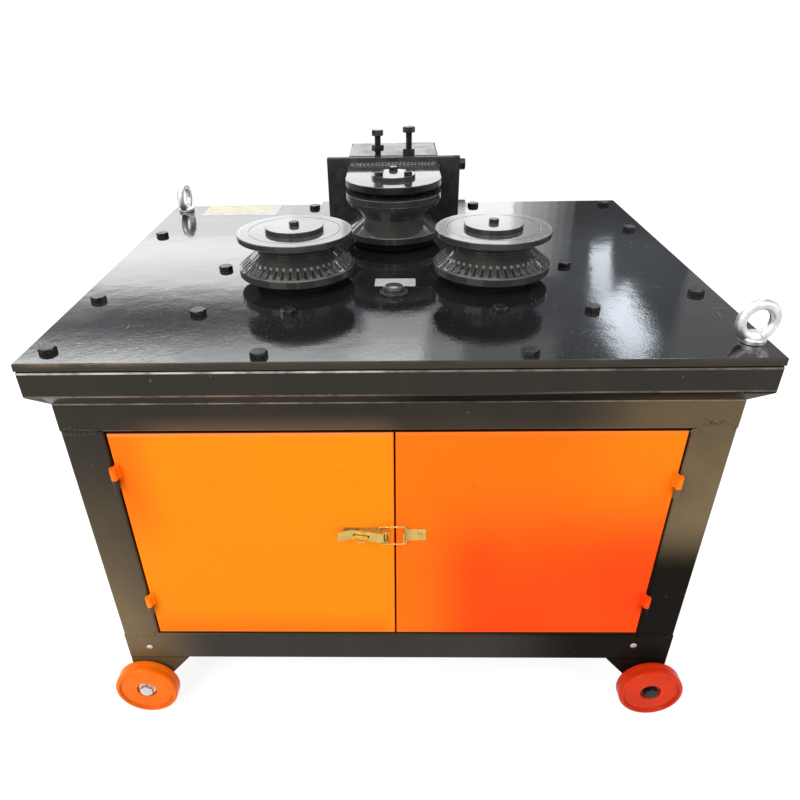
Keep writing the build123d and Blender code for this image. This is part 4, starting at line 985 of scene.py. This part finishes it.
class BENDER_OT_rear_head(bpy.types.Operator):
    """Build the rear head: grooved roller, yoke arms, back plate, pin cap, stop bolt and adjusting bolts"""

    bl_idname = "bender.rear_head"
    bl_label = "Rear head"

    def execute(self, context):
        sizes = context.scene.bender_head
        edge = sizes.plate_edge / MM
        flats = context.scene.bender_fasteners.bolt_flats / MM
        small = context.scene.bender_fasteners.small_flats / MM
        at = axis_of("roller_pin", TOP)
        # Half section of the rear roller: radii and heights above the table.
        spool = [
            (20.05, 14.9), (80, 14.9), (80, 25.4), (58, 41), (52.3, 45.6), (52.3, 46.4), (58, 51), (77, 67),
            (80, 74.8), (80, 84.8), (20.05, 84.8),
        ]
        blocks = [moved(turned(soften(spool, 0.8, 4), 180, ring=True), at)]
        nodes = ["rear_roller_lower", "rear_roller_upper"]
        piece("rear_grooved_roller", [("turned_steel", blocks)], "rear_roller", nodes, at)

        # Arms: half width, heights of the plate and heights of its boss.
        for name, half, (low, high), (boss_low, boss_high) in (
            ("upper", 80.0, UPPER_ARM, (85.2, UPPER_ARM[0])), ("lower", 70.0, LOWER_ARM, (LOWER_ARM[1], 14.5)),
        ):
            ring = [(PIN_HOLE, boss_low), (34, boss_low), (34, boss_high), (PIN_HOLE, boss_high)]
            blocks = [moved(arm_plate(half, low, high, edge), at), moved(turned(ring, 96, ring=True), at)]
            piece("yoke_%s_plate" % name, [("head_enamel", blocks)], "carriage", ["yoke_%s_arm" % name])
        low, high = box_of("yoke_back_plate")
        slab, quads = prism(rectangle(low[0], high[0], low[2], high[2], 1.5), low[1], high[1], edge)
        blocks = [(slab[:, [0, 2, 1]], quads)]
        piece("head_back_plate", [("head_enamel", blocks)], "carriage", ["yoke_back_plate"])

        heads = []
        for turn in (90, 210, 330):
            spot = 28 * np.array([math.cos(math.radians(turn)), math.sin(math.radians(turn)), 0])
            heads.append(moved(hex_head(small, CAP_TOP, CAP_HEAD), at + spot, math.radians(turn / 3 + 7)))
        cap = [(0, UPPER_ARM[1]), (36.5, UPPER_ARM[1]), (36.5, CAP_TOP - 0.8), (35.7, CAP_TOP), (0, CAP_TOP)]
        groups = [("turned_steel", [moved(turned(cap, 140), at)]), ("black_oxide", heads)]
        piece("roller_pin_cap", groups, "carriage", ["pin_cap"], at)

        plate_x = high[0]
        low, high = box_of("stop_bolt")
        place = (plate_x, (low[1] + high[1]) / 2, (low[2] + high[2]) / 2)
        blocks = [moved(block, place, 0.2, "x") for block in (hex_head(18.0, 0, high[0] - plate_x), bar(6, -12, 0.2))]
        piece("stop_bolt_head", [("black_oxide", blocks)], "carriage", ["stop_bolt"])

        low, high = box_of("adjusting_bolts")
        reach = (high[0] - low[0] - flats / math.cos(math.pi / 6)) / 2
        blocks = []
        # Heights of head and lock nut above the table, which differ between left and right.
        for side, head, nut in ((-1, 150.5, 125.0), (1, 155.0, 118.0)):
            spot = (side * reach, (low[1] + high[1]) / 2, TOP)
            blocks += [
                moved(hex_head(flats, head, head + 9.5), spot, 0.3 * side + 0.2),
                moved(thread(6.0, sizes.thread_pitch / MM, 100.0, head + 1), spot),
                moved(hex_head(flats, nut, nut + 10), spot, 0.15 - 0.4 * side),
            ]
        piece("gib_adjusting_bolts", [("black_oxide", blocks)], "frame", ["adjusting_bolts"])
        return {"FINISHED"}


class BENDER_OT_table_bolts(bpy.types.Operator):
    """Build the hex bolts on the table and the plug in its middle"""

    bl_idname = "bender.table_bolts"
    bl_label = "Table bolts"

    def execute(self, context):
        flats = context.scene.bender_fasteners.bolt_flats / MM
        rim = [
            (-420, -331), (420, 328), (-420, -163), (420, -163), (-420, 152), (420, 152), (-160, -347), (160, -347),
            (-160, 334), (160, 334),
        ]
        carrier = [(side * x, y) for side in (-1, 1) for x, y in ((264, -217), (264, -37), (142, -217))]
        turns = np.random.default_rng(4).uniform(0, math.pi / 3, 20)
        head = hex_head(flats, 0, 6.5)
        short = [head, bar(6, -14, 0)]
        long = [head, bar(6, -110, 0), hex_head(flats, -106, -96)]
        for name, spots, first, shape, node in (
            ("rim_bolts", rim, 0, short, "edge_bolts"), ("carrier_studs", carrier, 10, long, "carrier_bolts"),
        ):
            blocks = [
                moved(block, (x, y, TOP), turn) for (x, y), turn in zip(spots, turns[first:]) for block in shape
            ]
            piece(name, [("black_oxide", blocks)], "frame", [node])
        at = axis_of("centre_plug", TOP)
        cap = [(0, -10), (9, -10), (9, 0), (20, 0), (20, 3), (15, 3), (15, 7.6), (12.4, 10.4), (5, 11), (0, 11)]
        blocks = [moved(turned(soften(cap, 0.8, 3, closed=False), 96), at)]
        piece("table_plug", [("turned_steel", blocks)], "frame", ["centre_plug"], at)
        return {"FINISHED"}


def eye_ring(swell, ring=20.75, wire=6.25, rise=26):
    """Forged eye: a ring about a centre that stands a rise above the seat, cut flat at the seat.

    Its wire swells by w(p) = wire (1 + swell exp(-(p / 0.75)^2)) towards its foot at p = 0, outer edge kept.
    """
    p = np.linspace(-np.pi, np.pi, 96, endpoint=False)[:, None]
    t = angles(40)[None, :]
    more = wire * swell * np.exp(-(p / 0.75) ** 2)
    thick = wire + more
    r = ring + thick * np.cos(t) - more
    z = np.maximum(rise - r * np.cos(p), 0.3)
    return shell(np.stack([r * np.sin(p), thick * np.sin(t) * np.ones_like(p), z], -1), ring=True)


class BENDER_OT_lifting_eyes(bpy.types.Operator):
    """Build the two forged lifting eyes"""

    bl_idname = "bender.lifting_eyes"
    bl_label = "Lifting eyes"

    def execute(self, context):
        swell = context.scene.bender_fasteners.wire_swell
        collar = [(0, 0), (15, 0), (15, 5.6), (13.4, 7), (10.6, 7.8), (8.8, 10.2), (7.4, 13), (0, 13)]
        blocks = [eye_ring(swell), turned(soften(collar, 1.2, 4, closed=False), 72), bar(6, -14, 0.5)]
        for place, turn in (("front", 6.0), ("rear", 82.0)):
            node = place + "_eye_bolt"
            eye = [moved(block, axis_of(node, TOP), math.radians(turn)) for block in blocks]
            piece(place + "_lifting_eye", [("bright_zinc", eye)], "frame", [node], sharp=40)
        return {"FINISHED"}


def wheel_profile(edge, radius=50, width=24.5):
    """Half section of a wheel: bored and dished outer face at 0, mould line round the tread, hub at the back."""
    t = np.linspace(0, np.pi / 2, 8)
    shoulder = np.column_stack([radius - edge + edge * np.sin(t), edge * np.cos(t) - edge])
    face = [(6.05, -10), (16, -10), (16, -3.5), (41.5, -3.5), (43, -0.4), shoulder[0]]
    tread = [(radius, -11.4), (radius - 0.25, -width / 2), (radius, -13.1)]
    hub = [(radius - edge, -width), (43, -24.1), (41.5, -21), (18.5, -21), (17, -width), (6.05, -width)]
    outer, back = (soften(corners, 0.8, 4, closed=False) for corners in (face, hub))
    return np.vstack([outer[:-1], shoulder, tread, shoulder[::-1] * (1, -1) - (0, width), back[1:]])


class BENDER_OT_wheels(bpy.types.Operator):
    """Build the four moulded wheels and their axle bolts"""

    bl_idname = "bender.wheels"
    bl_label = "Wheels"

    def execute(self, context):
        sizes = context.scene.bender_fasteners
        flats = sizes.bolt_flats / MM
        disc = turned(wheel_profile(sizes.wheel_round / MM), 128, ring=True)
        screw = [
            washer(13.5, -9.7, -7.2), hex_head(flats, -7.2, -0.2), bar(6, -49, -9.6), washer(12, -27, -24.8),
            hex_head(flats, -45, -35),
        ]
        zinc, black = [], []
        for place, facing, hand, screws in (
            ("front", "-y", "left", zinc), ("front", "-y", "right", black),
            ("rear", "y", "left", black), ("rear", "y", "right", black),
        ):
            node = "%s_%s_wheel" % (place, hand)
            low, high = box_of(node)
            seat = (low + high) / 2
            seat[1] = low[1] if place == "front" else high[1]
            tyre = [(hand + "_urethane", [moved(disc, seat, 0.0, facing)])]
            piece(node + "_tyre", tyre, node, [node], seat, 38)
            screws += [moved(block, seat, 0.5, facing) for block in screw]
        piece("axle_screws", [("bright_zinc", zinc), ("oiled_black", black)], "frame", ["axle_bolts"])
        return {"FINISHED"}


def wire(path, radius, sides=16):
    """Round wire along a plane path: centre + radius (cos t normal + sin t across), normal square to the path."""
    p = np.asarray(path, float)
    along = np.gradient(p, axis=0)
    along /= np.linalg.norm(along, axis=1, keepdims=True)
    t = angles(sides)
    normal = np.stack([-along[:, 1], along[:, 0]], -1)
    flat = p[:, None] + radius * np.cos(t)[None, :, None] * normal[:, None]
    across = np.broadcast_to(radius * np.sin(t)[None, :, None], flat.shape[:2] + (1,))
    return shell(capped(np.concatenate([flat[..., :1], across, flat[..., 1:]], -1)))


class BENDER_OT_latch(bpy.types.Operator):
    """Build the wire bail of the toggle latch"""

    bl_idname = "bender.latch"
    bl_label = "Latch bail"

    def execute(self, context):
        low, high = box_of("latch_bail")
        radius = (high[1] - low[1]) / 2
        centre = (low + high) / 2
        x0, x1 = low[0] + radius, high[0] - radius
        z1 = (high[2] - low[2]) / 2 - radius
        corners = [(x0, 5.7), (x0, z1), (x1, z1), (x1, -z1), (x0, -z1), (x0, -5.7)]
        path = soften(corners, 5.0, 8, closed=False)
        keep = np.concatenate([[True], np.linalg.norm(np.diff(path, axis=0), axis=1) > 1e-6])
        block = moved(wire(path[keep], radius), (0, centre[1], centre[2]))
        piece("latch_wire_bail", [("gold_passivate", [block])], "latch_bail", ["latch_bail"], sharp=50)
        return {"FINISHED"}


class BENDER_OT_welds(bpy.types.Operator):
    """Lay the weld beads: yoke arm to back plate and legs to rails, with piled weld and plug welds on the front"""

    bl_idname = "bender.welds"
    bl_label = "Weld beads"

    def execute(self, context):
        sizes = context.scene.bender_head
        half, height = sizes.bead_width / MM, sizes.bead_height / MM
        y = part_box("yoke_back_plate")[0].y / MM - 1
        arm_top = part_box("roller_pin")[1].z / MM
        lean = np.array([0, -1, 1]) / math.sqrt(2)
        seams = []
        for x, z, seed in ((79, arm_top + 1, 1), (69, TOP + LOWER_ARM[1] + 1, 2)):
            seams.append(bead((-x, y, z), (x, y, z), lean, half, height, seed, 6.4))
        for side in (-1, 1):
            ends = [(side * 81, y, TOP + z) for z in UPPER_ARM]
            seams.append(bead(*ends, np.array([side, -1, 0]) / math.sqrt(2), 3.5, 2.2, 5 + side))
        piece("head_weld_beads", [("weld_enamel", seams)], "carriage", sharp=50)

        (_, _, foot), (leg_x, leg_y, head) = box_of("legs")
        seams = []
        for sx in (-1, 1):
            for sy in (-1, 1):
                x, y = sx * leg_x, sy * leg_y
                for k, z in enumerate((foot, head)):
                    seed = 20 + 8 * (sx + 1) + 4 * (sy + 1) + k
                    inner, outer = (sx * LEG_INNER + 4 * sx, y, z), (x - 4 * sx, y, z)
                    seams.append(bead(inner, outer, (0, sy, 0), 4.6, 2.0, seed, 7.0))
                    near, far = (x, y - 4 * sy, z), (x, y - 51 * sy, z)
                    seams.append(bead(near, far, (sx, 0, 0), 3.8, 1.3, seed + 50, 5.0))
        for x0, x1, z, half, height, seed in (
            (378, 424, head + 2, 5.5, 2.2, 91), (392, 426, head - 5, 4.5, 1.8, 92),
            (-428, -409, head + 2, 4.0, 2.0, 93),
        ):
            seams.append(bead((x0, -leg_y, z), (x1, -leg_y, z), (0, -1, 0), half, height, seed, 9.0))
        for x, z, half_x, half_z, seed in (
            (398, head + 8, 25, 12, 61), (386, head - 3, 13, 7, 62), (-416, head + 1, 11, 6, 63),
        ):
            seams.append(lump((x, -leg_y, z), half_x, half_z, 4.2, seed))
        piece("frame_weld_beads", [("frame_enamel", seams)], "frame", sharp=50)

        dome = [(0, -0.4), (5.4, -0.4), (5.0, 0.4), (3.6, 1.1), (1.6, 1.5), (0, 1.6)]
        button = turned(soften(dome, 0.6, 3, closed=False), 32)
        buttons = [moved(button, (x, -leg_y, z), 0.0, "-y") for x, z in ((-394.2, 126.0), (372.0, 133.0))]
        piece("plug_welds", [("ground_bar", buttons)], "frame", sharp=50)
        return {"FINISHED"}


def hoop(section, half_x, half_y, corner):
    """Closed section of steps d and heights carried round a rectangle: (+-(half_x + d), +-(half_y + d), height)."""
    rows = []
    for d, z in section:
        outline = rectangle(-half_x - d, half_x + d, -half_y - d, half_y + d, corner)
        rows.append(np.column_stack([outline, np.full(len(outline), z)]))
    return shell(np.stack(rows), ring=True)


class BENDER_OT_apron(bpy.types.Operator):
    """Build the apron under the table: upright band with a round heel, folded in to the frame below"""

    bl_idname = "bender.apron"
    bl_label = "Apron"

    def execute(self, context):
        low, high = box_of("apron_front")
        foot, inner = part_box("apron_skirt")[0].z / MM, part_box("top_rails")[1].x / MM
        wall, flange, half_x, half_y = 4.0, -36, high[0], -low[1]
        step = inner - half_x
        section = [
            (flange, high[2]), (0, high[2]), (0, low[2]), (step, foot), (step, foot + wall), (-wall, low[2] + 0.4),
            (-wall, high[2] - wall), (flange, high[2] - wall),
        ]
        radii = np.array([0.4, 4.5, 1.6, 0.5, 0.5, 1.0, 2.0, 0.4])[:, None]
        block = hoop(soften(section, radii, 6), half_x, half_y, 1.5)
        nodes = ["apron_" + side for side in ("front", "rear", "left", "right", "skirt")]
        piece("folded_apron", [("frame_enamel", [block])], "frame", nodes, sharp=50)
        return {"FINISHED"}


class BENDER_OT_strips(bpy.types.Operator):
    """Lay two blank films on the table"""

    bl_idname = "bender.strips"
    bl_label = "Blank strips"

    def execute(self, context):
        wide = prism(rectangle(-75, 75, -37, 37, 3), 0.0, 0.3, 0.1)
        short = prism(rectangle(-30, 30, -16, 16, 2), 0.0, 0.3, 0.1)
        blocks = [
            moved(wide, (-306, 322, TOP), math.radians(-2.5)), moved(short, (2, -104, TOP), math.radians(-1.5)),
        ]
        piece("blank_strips", [("strip_film", blocks)], "frame")
        return {"FINISHED"}


class BENDER_OT_cabinet_finish(bpy.types.Operator):
    """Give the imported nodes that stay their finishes"""

    bl_idname = "bender.cabinet_finish"
    bl_label = "Cabinet and drive finishes"

    def execute(self, context):
        finishes = {
            "table_enamel": ["table_plate", "housing_base"],
            "frame_enamel": [
                "legs", "top_rails", "bottom_rails", "floor_sheet", "wheel_brackets", "drive_carrier", "leg_hinges",
            ],
            "door_enamel": ["left_door", "right_door", "side_sheets", "rear_sheet"],
            "head_enamel": ["bearing_covers"],
            "house_enamel": ["guide_housing", "plunger_cover"],
            "ground_bar": [
                "left_spindle", "right_spindle", "left_gear", "right_gear", "pinion", "roller_pin", "slide_bar",
                "gib_strip",
            ],
            "motor_enamel": ["reducer", "motor"],
            "gland_plastic": ["cable_gland"],
            "gold_passivate": ["latch_base", "latch_lever", "latch_keeper"],
        }
        for finish, nodes in finishes.items():
            for node in nodes:
                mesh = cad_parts[node].data
                mesh.materials.clear()
                mesh.materials.append(finish_of(finish))
        return {"FINISHED"}


def softbox(name, place, aim, width, height, watts, tint=(1.0, 1.0, 1.0)):
    """Rectangular area light at a place, aimed at a point."""
    light = bpy.data.lights.new(name, "AREA")
    light.shape = "RECTANGLE"
    light.size, light.size_y = width, height
    light.energy = watts
    light.color = tint
    obj = bpy.data.objects.new(name, light)
    bpy.context.scene.collection.objects.link(obj)
    obj.location = place
    obj.rotation_euler = (Vector(aim) - Vector(place)).to_track_quat("-Z", "Y").to_euler()
    return obj


def rear_panel(name, x, z, width, height, level, tint=(1.0, 1.0, 1.0)):
    """Area light behind the machine that faces it, of an even brightness: watts = level pi width height."""
    return softbox(name, (x, 2.6, z), (x, 0, z), width, height, level * math.pi * width * height, tint)


def flat_sheet(name, corners):
    """Four-cornered sheet of the studio, in metres."""
    mesh = bpy.data.meshes.new(name)
    mesh.from_pydata(corners, [], [(0, 1, 2, 3)])
    obj = bpy.data.objects.new(name, mesh)
    bpy.context.scene.collection.objects.link(obj)
    return obj


def floor_paint():
    """Pale floor: plain diffuse for the light it throws back, and an even glow with soft shadows where it is seen."""
    paint = bpy.data.materials.new("pale_floor")
    paint.use_nodes = True
    paint.node_tree.nodes.clear()
    nodes = Nodes(paint.node_tree)
    real = nodes.add("ShaderNodeBsdfDiffuse", {"Color": (0.80, 0.80, 0.80)}).outputs[0]
    shown = nodes.add("ShaderNodeBsdfDiffuse", {"Color": (0.36, 0.36, 0.36)}).outputs[0]
    glow = nodes.add("ShaderNodeEmission", {"Strength": 0.805}).outputs[0]
    both = nodes.add("ShaderNodeAddShader", {0: shown, 1: glow}).outputs[0]
    choose = nodes.add("ShaderNodeMixShader", {0: nodes.seen(), 1: real, 2: both}).outputs[0]
    nodes.add("ShaderNodeOutputMaterial", {"Surface": choose})
    return paint


# Bright panels behind the machine, which show in the gloss: from and to in x and in z, in metres, and brightness.
REAR_PANELS = (
    ("rear_left_upper", -3.60, -0.55, 1.50, 1.65, 3.05), ("rear_left_mid", -3.60, -0.55, 1.36, 1.50, 3.4),
    ("rear_left_top", -3.60, -0.55, 1.65, 1.74, 1.15), ("rear_left_lower", -3.60, -0.55, 1.225, 1.36, 2.5),
    ("rear_left_foot", -3.60, -0.30, 0.72, 1.225, 2.2), ("rear_middle_lower", -0.55, 0.38, 1.225, 1.40, 2.15),
    ("rear_middle_upper", -0.28, 0.30, 1.40, 1.64, 1.1), ("rear_disc_left", -0.55, -0.28, 1.40, 1.64, 2.9),
    ("rear_disc_right", 0.30, 0.38, 1.40, 1.64, 2.9), ("rear_cap", 0.38, 0.63, 1.17, 1.50, 3.3),
    ("rear_cap_upper", 0.38, 0.63, 1.50, 1.64, 3.0), ("rear_cap_low", 0.38, 0.63, 1.10, 1.17, 2.1),
    ("rear_house", -0.30, 0.30, 0.72, 1.225, 3.4), ("rear_high_lower", -3.35, -0.18, 1.94, 2.03, 1.4),
    ("rear_centre_low", -0.18, 0.25, 1.72, 1.82, 0.8), ("rear_centre", -0.18, 0.20, 1.82, 2.03, 1.7),
    ("rear_high_left", -3.35, -1.35, 2.05, 2.40, 4.4), ("rear_high", -1.35, -0.28, 2.03, 2.40, 3.0),
    ("rear_high_centre", -0.28, 0.17, 2.03, 2.40, 3.9), ("rear_high_right", 0.17, 0.40, 1.95, 2.40, 1.2),
    ("rear_high_edge", 0.40, 0.95, 1.95, 2.40, 0.4), ("rear_right_far", 1.62, 2.60, 1.40, 2.40, 0.28),
    *(
        ("rear_cap_edge_%d" % k, 0.63 + 0.046 * k, 0.676 + 0.046 * k, 1.10, 1.60, level)
        for k, level in enumerate((1.65, 1.15, 0.95, 0.80, 0.58, 0.34, 0.20))
    ),
)


class BENDER_OT_stage(bpy.types.Operator):
    """Set up the pale floor, the soft lights and the camera"""

    bl_idname = "bender.stage"
    bl_label = "Stage"

    def execute(self, context):
        scene, stage = context.scene, context.scene.bender_stage
        scene.view_settings.view_transform = "Standard"
        world = bpy.data.worlds.new("studio")
        scene.world = world
        world.use_nodes = True
        sky = Nodes(world.node_tree)
        back = sky.tree.nodes["Background"]
        level = sky.add("ShaderNodeMapRange", {"Value": sky.seen(), "To Min": stage.ambient, "To Max": 1.0})
        sky.feed(back.inputs["Color"], (1.0, 1.0, 1.0))
        sky.feed(back.inputs["Strength"], level.outputs[0])

        floor = flat_sheet("pale_floor", [(-12, -12, 0), (12, -12, 0), (12, 12, 0), (-12, 12, 0)])
        floor.data.materials.append(floor_paint())
        flag = flat_sheet("rear_flag", [(-4.2, 2.75, 0.25), (4.2, 2.75, 0.25), (4.2, 2.75, 3.4), (-4.2, 2.75, 3.4)])
        cloth = Finish("flag_cloth", {"Roughness": 0.9})
        tint = cloth.mix(cloth.step(cloth.parts()[2], 1.28, 1.52), (0.085, 0.094, 0.10), (0.235, 0.26, 0.28))
        cloth.give(**{"Base Color": tint})
        flag.data.materials.append(cloth.material)
        flag.visible_camera = flag.visible_diffuse = flag.visible_shadow = flag.visible_transmission = False

        for name, x0, x1, z0, z1, level in REAR_PANELS:
            rear_panel(name, (x0 + x1) / 2, (z0 + z1) / 2, x1 - x0, z1 - z0, level)
        for name, x, z, width, height, turn, level in (
            ("slant_upper", 1.145, 1.575, 0.11, 0.30, 10, 3.4), ("slant_lower", 1.345, 1.915, 0.20, 0.46, 33, 5.6),
        ):
            streak = rear_panel(name, x, z, width, height, level, (0.84, 0.92, 1.0))
            streak.rotation_euler.rotate_axis("Z", math.radians(turn))
        for name, place, size, watts in (
            ("left_spot", (-1.2, -1.5, 3.0), 0.12, 7.0), ("right_spot", (1.2, -1.5, 3.0), 0.12, 7.0),
            ("middle_spot", (-0.06, -1.5, 2.7), 0.12, 6.0),
            ("left_high", (-1.3, 1.66, 2.65), 0.5, 13.0), ("right_high", (1.3, 1.66, 2.65), 0.5, 13.0),
        ):
            spot = softbox(name, place, (0.25 * place[0], -0.2, 0.4), size, size, watts)
            spot.visible_diffuse = False
        softbox("front_strip", (0.1, -2.6, 1.6), (0.1, 0, 0.7), 0.3, 0.5, 2.2)
        softbox("key_box", (-1.7, -2.5, 2.5), (0, 0, 0.4), 2.0, 2.0, stage.key, (1.0, 0.985, 0.96))
        softbox("fill_box", (2.4, -2.0, 1.9), (0, 0, 0.4), 1.8, 1.8, 0.28 * stage.key)
        softbox("top_box", (-0.3, 0.2, 3.4), (-0.1, 0, 0.6), 2.6, 2.2, 0.45 * stage.key)

        yaw, pitch, roll = stage.camera_yaw, stage.camera_pitch, stage.camera_roll
        ahead = Vector((math.sin(yaw) * math.cos(pitch), math.cos(yaw) * math.cos(pitch), math.sin(pitch)))
        right = Vector((math.cos(yaw), -math.sin(yaw), 0.0))
        up = right.cross(ahead)
        across = right * math.cos(roll) + up * math.sin(roll)
        tall = up * math.cos(roll) - right * math.sin(roll)
        data = bpy.data.cameras.new("camera")
        data.sensor_width = 36.0
        data.lens = stage.lens
        data.shift_x, data.shift_y = 0.028, 0.036
        data.clip_start, data.clip_end = 0.01, 60.0
        camera = bpy.data.objects.new("camera", data)
        scene.collection.objects.link(camera)
        turn = Matrix((across, tall, -ahead)).transposed()
        camera.matrix_world = Matrix.Translation(Vector(stage.camera_place)) @ turn.to_4x4()
        scene.camera = camera
        return {"FINISHED"}


STEPS = (
    BENDER_OT_front_rollers,
    BENDER_OT_rear_head,
    BENDER_OT_table_bolts,
    BENDER_OT_lifting_eyes,
    BENDER_OT_wheels,
    BENDER_OT_latch,
    BENDER_OT_apron,
    BENDER_OT_welds,
    BENDER_OT_strips,
    BENDER_OT_cabinet_finish,
    BENDER_OT_stage,
)


class BENDER_PT_sidebar(bpy.types.Panel):
    """Sidebar list of the machine's pieces"""

    bl_idname = "BENDER_PT_sidebar"
    bl_label = "Bar bender"
    bl_space_type = "VIEW_3D"
    bl_region_type = "UI"
    bl_category = "Bar bender"

    def draw(self, context):
        """List the operators and the settings."""
        for step in STEPS:
            self.layout.operator(step.bl_idname)
        for name, group in SETTINGS.items():
            box = self.layout.box()
            for key in group.__annotations__:
                box.prop(getattr(context.scene, name), key)


SETTINGS = {
    "bender_rollers": RollerSizes,
    "bender_head": HeadSizes,
    "bender_fasteners": FastenerSizes,
    "bender_colours": FinishColours,
    "bender_stage": StageSettings,
}


def register():
    """Register the classes and hang the settings on the scene."""
    for group in (*SETTINGS.values(), *STEPS, BENDER_PT_sidebar):
        bpy.utils.register_class(group)
    for name, group in SETTINGS.items():
        setattr(bpy.types.Scene, name, PointerProperty(type=group))


def unregister():
    """Take the settings and the classes away again."""
    for name in SETTINGS:
        delattr(bpy.types.Scene, name)
    for group in reversed((*SETTINGS.values(), *STEPS, BENDER_PT_sidebar)):
        bpy.utils.unregister_class(group)


def main():
    """Build everything in order."""
    register()
    for step in STEPS:
        getattr(bpy.ops.bender, step.bl_idname.split(".")[1])()


if __name__ == "__main__":
    main()
